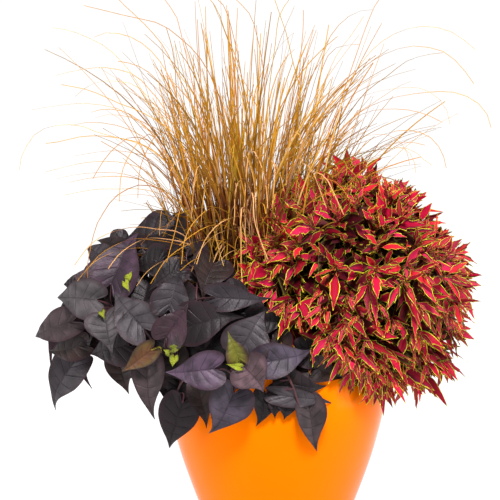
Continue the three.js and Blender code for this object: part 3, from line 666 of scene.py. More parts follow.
def laid_path(out, points):
    """A blade laid out singly: a smooth curve from the crown through its points, which come forward to the
    tip. The further out its tip, the nearer to the crown's front edge it is rooted."""
    points = np.reshape(points, (-1, 2)) * MILLIMETRE
    aside = np.clip((points[0, 0] - SEDGE_CROWN[0]) / 0.17, -1, 1)
    front = np.clip(out / 100, 0, 0.9)
    sideways = CROWN_RADII[0] * aside * (1 - 0.4 * front)
    root = SEDGE_CROWN + [sideways, -CROWN_RADII[1] * front, -ROOT_DEPTH]
    forward = np.linspace(0, 1, len(points) + 1)[1:] ** (0.75 - 0.25 * front)
    depth = -root[1] + (out * MILLIMETRE + root[1]) * forward
    shown = [in_view(x, z, y) for (x, z), y in zip(points, depth)]
    return curve_through([root] + shown, LAID_STATIONS)


def laid_blades():
    """The blades laid out singly, the straw-coloured ones thinner, and beside each one seen from the back
    two finer ones: the same curve stretched in each direction from its root, and parted from it at random."""
    path = np.stack([laid_path(out, points) for _, out, points in LAID_BLADES])
    kind = np.array([kind for kind, _, _ in LAID_BLADES])
    rng = np.random.default_rng(39)
    beside = np.repeat(np.flatnonzero(kind == BACK_TONE), 2)
    shape = (len(beside), 1, 3)
    parting = rng.normal(0, PARTING, shape) * np.linspace(0.5, 1, LAID_STATIONS)[:, None]
    foot = path[beside, :1]
    finer = foot + (path[beside] - foot) * rng.uniform(*STRETCH, shape) + parting
    girth = np.concatenate([np.choose(kind, LAID_GIRTHS), rng.uniform(*FINER_GIRTHS, len(beside))])
    path = np.concatenate([path, finer])
    kind = np.concatenate([kind, rng.choice([0, 2, 3, BACK_TONE, BACK_TONE], len(beside))])
    width = BLADE_WIDTH * np.linspace(0.95, 0.4, LAID_STATIONS) * girth[:, None]
    across = np.broadcast_to([0.94, 0.2, 0.28], (len(path), 1, 3))
    return path, across, width, blade_tones(kind, rng), crown_shade(path, np.full(len(path), True), rng)


def add_blades(growth, path, across, width, tone, shade):
    """Adds blades with their place (side to side, root to tip), and their tone and shade at each point."""
    count, stations = path.shape[:2]
    points, faces = folded_strips(path, across, width)
    share = np.linspace(0, 1, stations)
    place = np.stack(np.broadcast_arrays([0.0, 1.0, 0.5], share[:, None]), axis=-1)
    place = np.broadcast_to(place, (count, stations, 3, 2)).reshape(-1, 2)
    tone = np.broadcast_to(tone[:, None], (count, stations, 3))
    color = np.concatenate([tone, shade[..., None]], axis=-1)
    growth.add(points, faces, place, np.repeat(color.reshape(-1, 4), 3, axis=0))


def sedge_finish():
    """Each blade's own tone with rusty streaks, golden to the tip, and red-brown to near black by painted
    shade, which also stands for old sheaths, low in the crown.
    """
    finish = Finish("dry_bronze_blade")
    along = finish.place("Y")
    tone = finish.painted("tone")
    shade = finish.painted("tone", "Alpha")
    streak = finish.noise(70.0, 4)
    grain = finish.noise(420.0, 2)
    aged = finish.mixed(0.5 * streak.step(0.5, 0.75), tone, (0.22, 0.075, 0.018))
    tipped = finish.mixed(0.45 * along.step(0.35, 1.0), aged, (0.38, 0.20, 0.008))
    # Painted shade: by the shade value the blades turn red-brown, then near black, low in the crown; this
    # also stands for old brown sheaths.
    red_brown_shade = finish.mixed(0.94 * shade.step(0.0, 0.5), tipped, (0.16, 0.031, 0.007))
    rooted = finish.mixed(0.94 * shade, red_brown_shade, (0.023, 0.007, 0.005))
    return finish.surface(
        Base_Color=rooted, Roughness=0.5 + 0.2 * grain, Normal=finish.bump(grain, 0.0003, 0.4),
        Specular_IOR_Level=0.12, Specular_Tint=(1.0, 0.8, 0.5, 1))


bronze_blade = sedge_finish()
for quarter, side in enumerate(["right", "back", "left", "front"]):
    tuft = Growth()
    add_blades(tuft, *sedge_tuft(quarter))
    add_blades(tuft, *old_blades(quarter))
    if side == "front":
        add_blades(tuft, *laid_blades())
    tuft.make(f"sedge_blades_{side}", [f"sedge_tuft_{side}"], [bronze_blade])

# ---- Sweet potato vine: runners ----
# Purple-red runners, pencil-thin, that come up out of the soil, cross the rim and run down the mound. Each
# carries its smallest leaves itself; the other leaves' stalks spring from the nearest point of a runner.

FRONT = np.array([0, -np.cos(VIEW_DROP), np.sin(VIEW_DROP)])
MOUND_CENTRE = np.array([-0.120, 0.010, 0.330])
MOUND_REACH = 0.205  # how far the foliage stands out in front of the pot's axis
MOUND_MIDDLE = -0.090  # across, where it stands out most
MOUND_HALF_WIDTH = 0.320
MOUND_TOP = 0.240  # over the rim
MOUND_HANG = 0.160  # under the rim
MOUND_FALL = 0.150  # how far back it falls at its sides and its top
MOUND_TUCK = 0.025  # and at its lowest
POT_CLEARANCE = 0.009
STALK_RADIUS = 0.0014
RUNNER_RADIUS = 0.0027
RUNNER_POINTS = 60
RUNNER_TAPER = np.linspace(1, 0.6, RUNNER_POINTS)
BARE_POINTS = 10  # at a runner's start, which carry no leaves
STALK_POINTS = 9
STALK_SIDES = 7
RUNNER_SIDES = 10
VINE_LEAF_THICKNESS = 0.0005
STALK_TONE = (0.05, 0.014, 0.02)
RUNNER_TONE = (0.05, 0.013, 0.017)
STEM = 2  # the number of the stems' finish in the vine's and the coleus's pieces

# Each runner: where it leaves the soil, then points along it, in millimetres.
RUNNERS = {
    "left": [[-75, -60], [-105, -90, 335], [-190, -105, 385], [-270, -85, 400], [-320, -50, 375],
             [-340, -20, 320]],
    "high": [[-80, -30], [-125, -75, 385], [-170, -80, 460], [-205, -55, 490], [-245, -30, 485]],
    "middle": [[-60, -45], [-105, -130, 385], [-130, -150, 430], [-125, -110, 465]],
    "low_left": [[-65, -90], [-95, -122, 332], [-150, -150, 340], [-215, -135, 335], [-262, -90, 310]],
    "low": [[-50, -92], [-75, -132, 330], [-115, -165, 325], [-150, -160, 300], [-165, -135, 270]],
    "front": [[-30, -98], [-45, -145, 330], [-65, -182, 322], [-74, -196, 295], [-75, -190, 270]],
    "right": [[0, -98], [0, -146, 330], [10, -182, 322], [24, -196, 295], [34, -192, 262]],
}

# The outline of one half of a blade, from the notch at its stalk round to its tip: shares of its length and
# of its half width.
HEART = [[0.02, 0.04], [-0.10, 0.19], [-0.17, 0.44], [-0.15, 0.72], [-0.03, 0.95], [0.12, 1.03], [0.29, 0.95],
         [0.46, 0.72], [0.62, 0.45], [0.77, 0.22], [0.90, 0.085], [1.0, 0.014]]
SIDE_VEINS = 7
PUFF_HEIGHT = 0.0038  # of the blade between its side veins
MARGIN_WAVE = 0.0036  # height of the waves of its margin


def on_mound(across, up, lift):
    """A point on the rounded front of the mound, lift in front of it, and never inside the pot."""
    side = MOUND_FALL * ((across - MOUND_MIDDLE) / MOUND_HALF_WIDTH) ** 2
    height = MOUND_FALL * (up / MOUND_TOP) ** 2 if up > 0 else MOUND_TUCK * (up / MOUND_HANG) ** 2
    point = in_view(across, up, MOUND_REACH - side - height + lift)
    radius = pot_radius(point[2])
    if point[2] > POT_HEIGHT or abs(point[0]) > radius:
        return point
    clear = np.sqrt(radius**2 - point[0] ** 2) + POT_CLEARANCE
    return point if -point[1] > clear else in_view(across, up, clear)


def vine_path(route):
    """A runner's middle line: up out of the soil, then on through the points of its route."""
    x, y = route[0]
    start = [[x, y, SOIL_TOP / MILLIMETRE - 3], [x, y, SOIL_TOP / MILLIMETRE + 20]]
    return curve_through(np.array(start + route[1:]) * MILLIMETRE, RUNNER_POINTS)


runner_paths = {side: vine_path(route) for side, route in RUNNERS.items()}
runner_points = np.concatenate([path[BARE_POINTS:] for path in runner_paths.values()])


def add_stems(growth, paths, radii, sides, tone):
    """Adds round stems along paths: rings of points at a radius round each path's points, in a frame that
    keeps near the normal of the plane that the path bends in."""
    tangent = unit(np.gradient(paths, axis=1))
    middle = paths[:, paths.shape[1] // 2]
    plane = np.cross(middle - paths[:, 0], paths[:, -1] - middle)
    straight = np.linalg.norm(plane, axis=-1, keepdims=True) < 1e-6
    plane = np.where(straight, np.cross(tangent[:, 0], [0.31, 0.52, 0.79]), plane)
    normal = unit(plane[:, None] - (plane[:, None] * tangent).sum(-1, keepdims=True) * tangent)
    other = np.cross(tangent, normal)
    turn = np.arange(sides) / sides * 2 * np.pi
    ring = normal[:, :, None] * np.cos(turn)[:, None] + other[:, :, None] * np.sin(turn)[:, None]
    count, length = paths.shape[:2]
    points = paths[:, :, None] + ring * np.broadcast_to(radii, (count, length))[:, :, None, None]
    starts = np.arange(count)[:, None] * length * sides
    first_cap = starts + np.arange(sides)[::-1]
    last_cap = starts + (length - 1) * sides + np.arange(sides)
    faces = [(group, STEM) for group in (ring_faces(length, sides, count), first_cap, last_cap)]
    growth.add(points.reshape(-1, 3), faces, tone=(*tone, 1))


def sheet_faces(rows, cols, under, count):
    """Faces of thin leaves: an upper grid and a lower one, which share their border. The lower grid has only
    the upper grid's columns named in under. A leaf is closed where under names every column. Where it skips
    some, a narrow seam stays open at each skipped one, in the leaf's first row and in its last."""
    upper = np.arange(rows * cols).reshape(rows, cols)
    lower = upper[:, under].copy()
    inner = (rows - 2, len(under) - 2)
    lower[1:-1, 1:-1] = rows * cols + np.arange(inner[0] * inner[1]).reshape(inner)
    faces = []
    per_leaf = rows * cols + inner[0] * inner[1]
    for grid, corner_order in ((upper, [0, 1, 2, 3]), (lower, [3, 2, 1, 0])):
        corners = [grid[:-1, :-1], grid[:-1, 1:], grid[1:, 1:], grid[1:, :-1]]
        squares = np.stack(corners, axis=-1).reshape(-1, 4)[:, corner_order]
        faces.append((squares + np.arange(count)[:, None, None] * per_leaf).reshape(-1, 4))
    return faces


def add_leaves(growth, upper, normal, thickness, under, place, tone, trim, finish_numbers):
    """Adds leaves given as upper grids of points. The lower side lies under the upper by the thickness, along
    each leaf's normal, and meets it at the border, but for the open seams of one with fewer columns."""
    count, rows, cols = upper.shape[:3]
    lower = upper[:, 1:-1][:, :, under[1:-1]] - thickness * normal[:, None, None]
    points = np.concatenate([upper.reshape(count, -1, 3), lower.reshape(count, -1, 3)], axis=1)
    places = np.concatenate([place.reshape(-1, 2), place[1:-1][:, under[1:-1]].reshape(-1, 2)])
    faces = zip(sheet_faces(rows, cols, under, count), finish_numbers)
    each = points.shape[1]
    growth.add(points.reshape(-1, 3), list(faces), np.tile(places, (count, 1)),
               np.repeat(tone, each, axis=0), np.repeat(trim, each, axis=0))


def leaf_frames(base, tip, width, facing):
    """Leaves' own axes: from base to tip, across, and out of the face. The width is widened where the face
    turns away from the front, so that it shows as wide as laid out."""
    axis = tip - base
    length = np.linalg.norm(axis, axis=-1)
    axis = unit(axis)
    across = unit(np.cross(axis, facing))
    normal = np.cross(across, axis)
    flat_axis = unit(axis - (axis @ FRONT)[:, None] * FRONT)
    flat_across = across - (across @ FRONT)[:, None] * FRONT
    shown = np.linalg.norm(np.cross(flat_across, flat_axis), axis=-1)
    half = width / 2 / np.maximum(shown, 0.65)
    return dict(base=base, axis=axis, across=across, normal=normal, length=length, half=half)


def heart_blades(leaf, rng, rows, cols):
    """Upper grids of heart-shaped blades. Each row runs from the midrib out to the outline, as a side vein
    does: the midrib's points crowd at the base, and the outline's run round from the notch to the tip. Height
    adds up the fold along the midrib, the arch of the blade, the drop of its tip, puffs between the side
    veins, a wave of the margin and a twist; the tip also hooks to one side."""
    n = len(leaf["length"])
    s = np.linspace(0, 1, rows)[None, :, None]
    t = np.linspace(-1, 1, cols)[None, None, :]
    away = np.abs(t)
    outline = curve_through(HEART, rows)
    rib = 0.02 + 0.975 * s**1.45
    along = rib + (outline[:, 0][None, :, None] - rib) * away + 0.05 * away * (1 - away) * (1 - s)
    wide = outline[:, 1][None, :, None] * t

    def each(low, high):
        return rng.uniform(low, high, n)[:, None, None]

    left = t < 0
    phase = np.where(left, each(0, 6.3), each(0, 6.3))
    wide = wide * np.where(left, each(0.88, 1.06), each(0.88, 1.06))
    fold = np.where(left, each(0.12, 0.5), each(0.12, 0.5))
    length = leaf["length"][:, None, None]
    half = leaf["half"][:, None, None]
    rise = fold * np.abs(wide) * half + each(0.05, 0.11) * 4 * along * (1 - along) * length
    rise = rise - each(0.1, 0.5) * length * np.maximum(along - 0.5, 0) ** 2
    puff = np.abs(np.sin(np.pi * SIDE_VEINS * s)) ** 0.8 - 0.5
    rise = rise + PUFF_HEIGHT * each(0.6, 1.3) * puff * away * (1.1 - away)
    swing = MARGIN_WAVE * each(0.4, 1.2) * away**3
    rise = rise + swing * np.sin(2 * np.pi * each(1.6, 3.4) * s + phase) * (1.15 - s)
    rise = rise + each(-0.35, 0.35) * wide * half * along
    hook = each(-0.4, 0.4) * length * np.maximum(along - 0.5, 0) ** 2
    return (leaf["base"][:, None, None]
            + leaf["axis"][:, None, None] * (along * length)[..., None]
            + leaf["across"][:, None, None] * (wide * half + hook)[..., None]
            + leaf["normal"][:, None, None] * rise[..., None])


def heart_places(rows, cols):
    """Each point's place on its blade: from notch round to tip, and from side to side."""
    return np.stack(np.meshgrid(np.linspace(0, 1, cols), np.linspace(0, 1, rows)), axis=-1)[..., ::-1]


def stalk_paths(leaf, roots):
    """Stalks: from the root on a runner, past a bend behind the blade's notch, to the start of its midrib."""
    start = leaf["base"] + leaf["axis"] * 0.03 * leaf["length"][:, None]
    bend = leaf["base"] - leaf["axis"] * 0.012 - leaf["normal"] * 0.009
    bend = bend * 0.7 + roots * 0.3
    return np.stack([curve_through([a, b, c], STALK_POINTS) for a, b, c in zip(roots, bend, start)])


def add_vine_leaves(growth, leaf, roots, seed, tone, trim, rows=30, cols=17, stalk_tone=STALK_TONE):
    """Adds heart-shaped leaves with their stalks, in a grid of rows along and columns across each blade."""
    blades = heart_blades(leaf, np.random.default_rng(seed), rows, cols)
    add_leaves(growth, blades, leaf["normal"], VINE_LEAF_THICKNESS, np.arange(cols), heart_places(rows, cols),
               tone, trim, (0, 1))
    radii = np.linspace(1.25, 0.95, STALK_POINTS) * STALK_RADIUS
    add_stems(growth, stalk_paths(leaf, roots), radii, STALK_SIDES, stalk_tone)


def nearest_point(base, among=runner_points):
    """The nearest point of the runners to each leaf's base."""
    away = np.linalg.norm(base[:, None] - among[None], axis=-1)
    return among[np.argmin(away, axis=1)]


def laid_out(rows):
    """Leaves from rows of base and tip in the front elevation, width and lift, in millimetres."""
    table = np.array(rows, float) * MILLIMETRE
    base = np.array([on_mound(r[0], r[1], r[5]) for r in table])
    tip = np.array([on_mound(r[2], r[3], r[5]) for r in table])
    facing = 0.65 * FRONT + 0.35 * unit(base - MOUND_CENTRE)
    return leaf_frames(base, tip, table[:, 4] * 1.1, facing)


def vine_blade_finish():
    """The upper side: the leaf's own tone, clouded, its veins in the trim colour and sunk, and a fine net of
    puffs between them."""
    finish = Finish("dark_satin_leaf")
    along = finish.place("X")
    away = abs(2.0 * finish.place("Y") - 1.0)
    tone = finish.painted("tone")
    trim = finish.painted("trim")
    spread = finish.painted("trim", "Alpha")
    cloud = finish.noise(45.0, 4)
    net = {"Vector": finish.node("ShaderNodeTexCoord", output="Object"), "Scale": 190.0}
    cells = finish.node("ShaderNodeTexVoronoi", {"feature": "DISTANCE_TO_EDGE"}, net)
    off_vein = abs((SIDE_VEINS * along + 0.5).wrapped() - 0.5)
    vein = off_vein.step(0.075, 0.0) * away.step(1.0, 0.55)
    rib = away.step(0.055, 0.015)
    lines = vein.math("MAXIMUM", vein, rib)
    clouded = finish.mixed(0.6 * cloud.step(0.38, 0.66), tone, (0.006, 0.006, 0.006))
    middle = finish.mixed(away.step(0.85, 0.35) * spread, clouded, trim)
    edged = finish.mixed(0.7 * away.step(0.70, 1.0), middle, (0.020, 0.008, 0.011))
    color = finish.mixed(lines * 0.35, edged, trim)
    height = 0.22 * cells.step(0.0, 0.4) - lines + 0.4 * cloud
    return finish.surface(
        Base_Color=color, Roughness=0.40 + 0.14 * cloud, Normal=finish.bump(height, 0.0010, 0.7),
        Specular_IOR_Level=0.17, Specular_Tint=(1.0, 0.92, 0.96, 1))


def vine_under_finish():
    """The lower side: duller and more purple, with raised veins."""
    finish = Finish("purple_leaf_underside")
    tone = finish.painted("tone")
    cloud = finish.noise(60.0, 4)
    off_vein = abs((SIDE_VEINS * finish.place("X") + 0.5).wrapped() - 0.5)
    vein = off_vein.step(0.09, 0.0)
    dull = finish.mixed(0.45 * cloud, tone, (0.075, 0.038, 0.055))
    color = finish.mixed(0.5 * vein, dull, (0.09, 0.035, 0.05))
    return finish.surface(
        Base_Color=color, Roughness=0.62 + 0.1 * cloud, Normal=finish.bump(vein + 0.3 * cloud, 0.0005, 0.7),
        Specular_IOR_Level=0.25)


def stem_finish():
    """Each stem's own tone, mottled with dark purple, and low upright ridges."""
    finish = Finish("vine_stem_skin")
    tone = finish.painted("tone")
    mottle = finish.noise(90.0, 3)
    ridge = finish.noise(500.0, 2, (1, 1, 0.2))
    color = finish.mixed(0.5 * mottle.step(0.4, 0.7), tone, (0.03, 0.012, 0.016))
    return finish.surface(
        Base_Color=color, Roughness=0.42 + 0.1 * mottle, Normal=finish.bump(ridge, 0.0003, 0.5),
        Specular_IOR_Level=0.3)


vine_finishes = [vine_blade_finish(), vine_under_finish(), stem_finish()]

# Tones of the blades, and their trims: the colour of the veins, and how far it spreads from the midrib.
INK = (0.006, 0.004, 0.004)
CHARCOAL = (0.012, 0.008, 0.009)
GREY = (0.024, 0.019, 0.023)
SLATE = (0.042, 0.035, 0.040)
ASH = (0.060, 0.051, 0.054)
SMOKE = (0.052, 0.040, 0.058)
PURPLE = (0.048, 0.026, 0.042)
VIOLET = (0.066, 0.040, 0.066)
PLUM = (0.032, 0.015, 0.021)
UMBER = (0.042, 0.028, 0.030)
BROWN = (0.022, 0.012, 0.010)
ROSE = (0.096, 0.056, 0.064)
OLIVE_GOLD = (0.080, 0.048, 0.012)
YOUNG_BRONZE = (0.072, 0.044, 0.010)
LIME = (0.20, 0.225, 0.012)
DARK_VEIN = (0.010, 0.005, 0.008, 0.0)
LIME_VEIN = (0.36, 0.40, 0.04)

# Small leaves that grow on the runners themselves: base and tip in the front elevation, width and lift, in
# millimetres.
RUNNER_LEAVES = {
    "left": [[-325, 120, -357, 119, 30, -30], [-315, 58, -318, 4, 32, -34]],
    "high": [[-255, 178, -301, 196, 30, -36], [-178, 222, -150, 172, 50, -48]],
    "middle": [[-150, 180, -122, 197, 26, -40]],
    "low_left": [[-190, 0, -195, -68, 45, -55]],
    "low": [[-160, -30, -163, -92, 45, -62], [-135, -45, -114, -117, 36, -42]],
    "front": [[-5, -70, -6, -99, 22, -20]],
    "right": [[35, 15, 98, -8, 42, -20], [50, -10, 114, -35, 42, -14], [15, -70, 12, -101, 30, -20]],
}

# Leaves that hang in the shade behind the front ones, laid out alike and given the darkest tones as painted
# shade; each belongs to the nearest runner.
SHADED_LEAVES = [
    [-187, 192, -212, 134, 60, -50], [-153, 167, -103, 109, 64, -55], [-128, 117, -69, 59, 64, -48],
    [-212, 134, -228, 59, 66, -46], [-262, 151, -304, 92, 60, -46], [-287, 109, -337, 50, 60, -46],
    [-304, 50, -346, -17, 56, -52], [-254, 59, -287, -17, 62, -50], [-187, 67, -212, -17, 68, -50],
    [-145, 59, -162, -25, 68, -48], [-103, 50, -120, -42, 66, -46], [-53, 42, -61, -33, 62, -46],
    [-11, 33, 14, -17, 56, -44], [39, 17, 81, -17, 48, -40], [-162, -17, -187, -92, 58, -66],
    [-120, -17, -128, -75, 50, -56], [-212, 17, -254, -42, 52, -56], [-78, -17, -103, -67, 46, -40],
    [6, -25, 39, -50, 40, -36], [-86, 109, -28, 92, 48, -34], [-61, 84, -14, 33, 56, -40],
    [-245, 192, -279, 156, 44, -50], [-170, 109, -145, 42, 62, -42], [-235, 100, -262, 40, 56, -60],
    [-180, 10, -150, -45, 52, -44], [-120, 75, -170, 40, 50, -40], [-40, 65, 20, 60, 46, -40],
    [-30, 104, -8, 46, 66, -90], [-72, 112, -44, 52, 70, -96], [-112, 122, -78, 62, 70, -98],
    [-18, 62, 24, 24, 60, -78], [-62, 72, -98, 26, 66, -84], [-8, 122, 26, 78, 56, -86],
    [-92, 84, -52, 32, 66, -108], [-40, 44, -10, 2, 60, -70], [-140, 60, -100, 10, 66, -90],
]

# The youngest leaves, lime all over, each on the nearest runner.
BUD_LEAVES = [
    [-254, 128, -247, 112, 12, -4], [-250, 132, -241, 146, 10, -8], [-293, 80, -288, 66, 10, 10],
    [-178, 20, -158, 25, 13, 22], [-180, 12, -192, 20, 10, 18], [-174, 8, -178, -10, 14, 22],
    [-62, -10, -88, -5, 12, 24],
]


def toned(count, tones, seed):
    """One row of colour a leaf, picked from the tones and varied a little in lightness."""
    rng = np.random.default_rng(seed)
    colors = np.array(tones)[rng.integers(0, len(tones), count)] * rng.uniform(0.8, 1.25, (count, 1))
    return np.column_stack([colors, np.ones(count)])


def belonging(rows, number):
    """The rows whose leaf is nearest to the runner of that number."""
    base = laid_out(rows)["base"]
    reach = [np.linalg.norm(base[:, None] - path[None, BARE_POINTS:], axis=-1).min(axis=1)
             for path in runner_paths.values()]
    return [row for row, owner in zip(rows, np.argmin(reach, axis=0)) if owner == number]


for number, (side, rows) in enumerate(RUNNER_LEAVES.items()):
    runner = Growth()
    buds = belonging(BUD_LEAVES, number)
    rows = rows + belonging(SHADED_LEAVES, number) + buds
    leaf = laid_out(rows)
    first_bud = len(rows) - len(buds)
    # Painted shade: a runner's leaves take only the darkest tones, INK, CHARCOAL and BROWN, for the shade
    # they hang in.
    tone = toned(len(rows), [INK, CHARCOAL, BROWN], 70 + number)
    tone[first_bud:, :3] = LIME
    trim = np.tile(DARK_VEIN, (len(rows), 1))
    trim[first_bud:, :3] = LIME_VEIN
    path = runner_paths[side]
    roots = nearest_point(leaf["base"], path[BARE_POINTS:])
    add_vine_leaves(runner, leaf, roots, 80 + number, tone, trim)
    add_stems(runner, path[None], RUNNER_TAPER * RUNNER_RADIUS, RUNNER_SIDES, RUNNER_TONE)
    runner.make(f"sweet_potato_runner_{side}", [f"vine_runner_{side}"], vine_finishes)

# ---- Sweet potato vine: leaves ----
# Heart-shaped satin leaves with long tips, near black to purple-grey, each on its own stalk from a runner.
# One is an old gold leaf, and one a young leaf with lime veins.

# Each leaf: base and tip in the front elevation, width and lift, in millimetres, and then its tone. Some
# tones hold painted light and shade besides the leaf's own colour: the pale ASH of leaves 02 and 03 on the
# left is painted light, and the INK of leaf 09 is painted shade.
LEAVES = {
    "01": ([-338, 62, -411, 29, 54, -20], UMBER),
    "02": ([-298, 97, -370, 100, 60, -5], ASH),
    "03": ([-288, 72, -275, 11, 62, 0], ASH),
    "04": ([-278, 120, -231, 212, 70, -12], PURPLE),
    "05": ([-305, 128, -341, 135, 36, -15], ROSE),
    "06": ([-283, 161, -317, 184, 40, -22], GREY),
    "08": ([-182, 205, -262, 186, 70, -42], CHARCOAL),
    "09": ([-190, 163, -243, 148, 50, -25], INK),
    "10": ([-163, 150, -216, 117, 46, -10], CHARCOAL),
    "11": ([-182, 82, -162, 152, 56, 2], GREY),
    "12": ([-105, 160, -130, 104, 62, -26], BROWN),
    "13": ([-108, 105, -10, 97, 42, 0], GREY),
    "14": ([-155, 55, -58, 81, 68, -8], CHARCOAL),
    "15": ([-188, 38, -147, 96, 54, 14], PLUM),
    "16": ([-222, 50, -275, 113, 62, 0], SLATE),
    "17": ([-248, 25, -315, 6, 62, -25], CHARCOAL),
    "18": ([-322, 22, -384, 2, 40, -32], BROWN),
    "20": ([-334, -2, -383, -87, 60, -48], GREY),
    "21": ([-265, 5, -249, -62, 50, -48], BROWN),
    "22": ([-218, 0, -213, -103, 52, -22], UMBER),
    "24": ([-158, -72, -185, -154, 62, -50], CHARCOAL),
    "26": ([-73, -52, -109, -129, 64, 0], SMOKE),
    "27": ([-103, -12, -189, -22, 60, 14], VIOLET),
    "28": ([-62, 18, -24, 86, 76, -14], SLATE),
    "29": ([-58, -8, -19, -50, 58, 16], ROSE),
    "30": ([-26, -3, 62, 13, 55, 2], SMOKE),
    "32": ([0, -35, 84, -52, 50, -16], CHARCOAL),
    "34": ([-2, -58, 99, -68, 30, 0], SLATE),
    "35": ([-20, -55, -32, -114, 40, -20], INK),
    "37": ([51, -72, 60, -159, 43, -8], UMBER),
    "gold": ([-210, 18, -262, -24, 34, 0], OLIVE_GOLD),
    "young": ([-65, 0, -86, 50, 34, 20], YOUNG_BRONZE),
}

# What the two odd leaves have in place of dark veins and a purple stalk.
TRIMS = {"gold": (0.090, 0.026, 0.014, 0.5), "young": (0.12, 0.135, 0.010, 0.5)}
STALK_TONES = {"gold": (0.5, 0.42, 0.05), "young": LIME}

for number, (name, (row, color)) in enumerate(LEAVES.items()):
    growth = Growth()
    leaf = laid_out([row])
    trim = [TRIMS.get(name, DARK_VEIN)]
    stalk = STALK_TONES.get(name, STALK_TONE)
    add_vine_leaves(growth, leaf, nearest_point(leaf["base"]), 100 + number, [(*color, 1)], trim,
                    rows=38, cols=21, stalk_tone=stalk)
    growth.make(f"sweet_potato_leaf_{name}", [f"vine_leaf_{name}"], vine_finishes)

# ---- Sweet potato vine: back shoots ----
# Two leafy shoots that close the mound at the back and the far left. Their leaves hang down over it like
# tiles, turned outward and up.

BACK_SHOOTS = {
    "back": [[-70, 75], [-95, 120, 350], [-140, 165, 375], [-195, 170, 350], [-230, 160, 290]],
    "far_left": [[-95, 35], [-135, 55, 370], [-215, 70, 410], [-290, 60, 390], [-335, 50, 320]],
}
BACK_MOUND = np.array([-0.175, 0.035, 0.335])  # centre of the mound's rounded back
BACK_RADII = np.array([0.185, 0.165, 0.150])
BACK_REGIONS = {"back": (35, 125), "far_left": (105, 205)}  # degrees of azimuth that each covers
BACK_LEAVES = 30
LOWEST_LEAVES = {"back": -14, "far_left": -4}  # degrees of elevation
HIGHEST_LEAVES = 78  # and up to which
HANGING_LENGTHS = 0.062, 0.098
HANGING_HALF = 0.37  # of their width, as a share of their length
BARE_SHOOT_POINTS = 12  # at a shoot's start, which carry no leaves
SHOOT_TONE = (0.085, 0.022, 0.03)


def direction(azimuth, elevation):
    """The unit vector at an azimuth, which is 0 at the right side, and an elevation, both in radians."""
    flat = np.cos(elevation)
    parts = flat * np.cos(azimuth), flat * np.sin(azimuth), np.sin(elevation)
    return np.stack(np.broadcast_arrays(*parts), axis=-1)


def hanging_leaves(side, seed):
    """Leaves over a part of the mound's back: bases spread over the ellipsoid, tips down its slope and a
    little to one side, faces turned outward and up."""
    rng = np.random.default_rng(seed)
    low, high = np.radians(BACK_REGIONS[side])
    azimuth = rng.uniform(low, high, BACK_LEAVES)
    heights = np.linspace(LOWEST_LEAVES[side], HIGHEST_LEAVES, BACK_LEAVES)
    height = np.radians(heights[rng.permutation(BACK_LEAVES)])
    azimuth = (azimuth - np.pi / 2) * (1 - 0.2 * np.sin(height)) + np.pi / 2
    outward = direction(azimuth, height)
    base = BACK_MOUND + outward * BACK_RADII * rng.uniform(0.86, 1.0, (BACK_LEAVES, 1))
    around = np.stack([-np.sin(azimuth), np.cos(azimuth), np.zeros(BACK_LEAVES)], axis=-1)
    downhill = np.cross(around, outward)
    aside = around * rng.normal(0, 0.55, (BACK_LEAVES, 1))
    axis = unit(-downhill * np.sign(downhill[:, 2:]) + aside + outward * 0.18)
    length = rng.uniform(*HANGING_LENGTHS, (BACK_LEAVES, 1))
    facing = unit(outward + [0, 0, 0.45])
    leaf = leaf_frames(base, base + axis * length, length[:, 0], facing)
    leaf["half"] = HANGING_HALF * length[:, 0]  # as it is, for the front elevation doesn't show them
    return leaf


for number, (side, route) in enumerate(BACK_SHOOTS.items()):
    shoot = Growth()
    path = vine_path(route)
    leaf = hanging_leaves(side, 210 + number)
    tone = toned(BACK_LEAVES, [CHARCOAL, GREY, PLUM, BROWN, PURPLE], 220 + number)
    trim = np.tile(DARK_VEIN, (BACK_LEAVES, 1))
    roots = nearest_point(leaf["base"], path[BARE_SHOOT_POINTS:])
    add_vine_leaves(shoot, leaf, roots, 230 + number, tone, trim, rows=22, cols=13)
    add_stems(shoot, path[None], RUNNER_TAPER * RUNNER_RADIUS, RUNNER_SIDES, SHOOT_TONE)
    shoot.make(f"sweet_potato_shoot_{side}", [f"vine_shoot_{side}"], vine_finishes)

# ---- Coleus ----
# Thirteen branches from the soil to a rounded head. Each forks to shoots whose narrow lobed leaves stand in
# crossed pairs: crimson in the middle, maroon outside, with a thin yellow-green margin.

COLEUS_CROWN = np.array([0.095, -0.005, SOIL_TOP])
COLEUS_ROOT_CIRCLE = 0.050
DOME = np.array([0.138, -0.015, 0.425])  # centre of the head
DOME_RADII = np.array([0.175, 0.167, 0.192])  # to the shoots' tips
RIM_MARGIN = 0.024  # that a branch keeps over the rim as it crosses it
BRANCH_POINTS = 24
BRANCH_SIDES = 9
BRANCH_RADII = 0.0036, 0.0024  # at the soil and at the fork
BRANCH_TONE = (0.12, 0.045, 0.03)
FORK_DEPTH = 0.6  # of the way from the head's centre to its outside
SHOOTS = 205  # over the whole ball; the ones that would be in the pot or in the vine are left out
BALL_DEPTH = 1.80  # that they go down from its top, in radii
POT_KEEP_OUT = 0.188, 0.015  # radius, and height over the rim, inside which no shoot ends
VINE_CORNER = [-0.012, 0.02, 0.40]  # left of, in front of and under which the vine grows
GOLDEN_ANGLE = 2.399963  # radians round from each shoot to the next
GOLDEN_SHARE = 0.618034  # of the range of their sizes, from each shoot on to the next, round and round
STEM_POINTS = 14
STEM_RADII = 0.0019, 0.0008  # at the fork and at the tip
STEM_SIDES = 5
STEM_NECK = 0.022  # the straight length under a shoot's tip
STEM_TONE = (0.13, 0.035, 0.03)
PAIR_SETBACK = np.array([0.0, 0.006, 0.015, 0.027, 0.042, 0.056, 0.067, 0.080, 0.094])  # from the shoot's tip
PAIR_LENGTH = np.array([0.017, 0.034, 0.048, 0.055, 0.053, 0.054, 0.058, 0.060, 0.060])
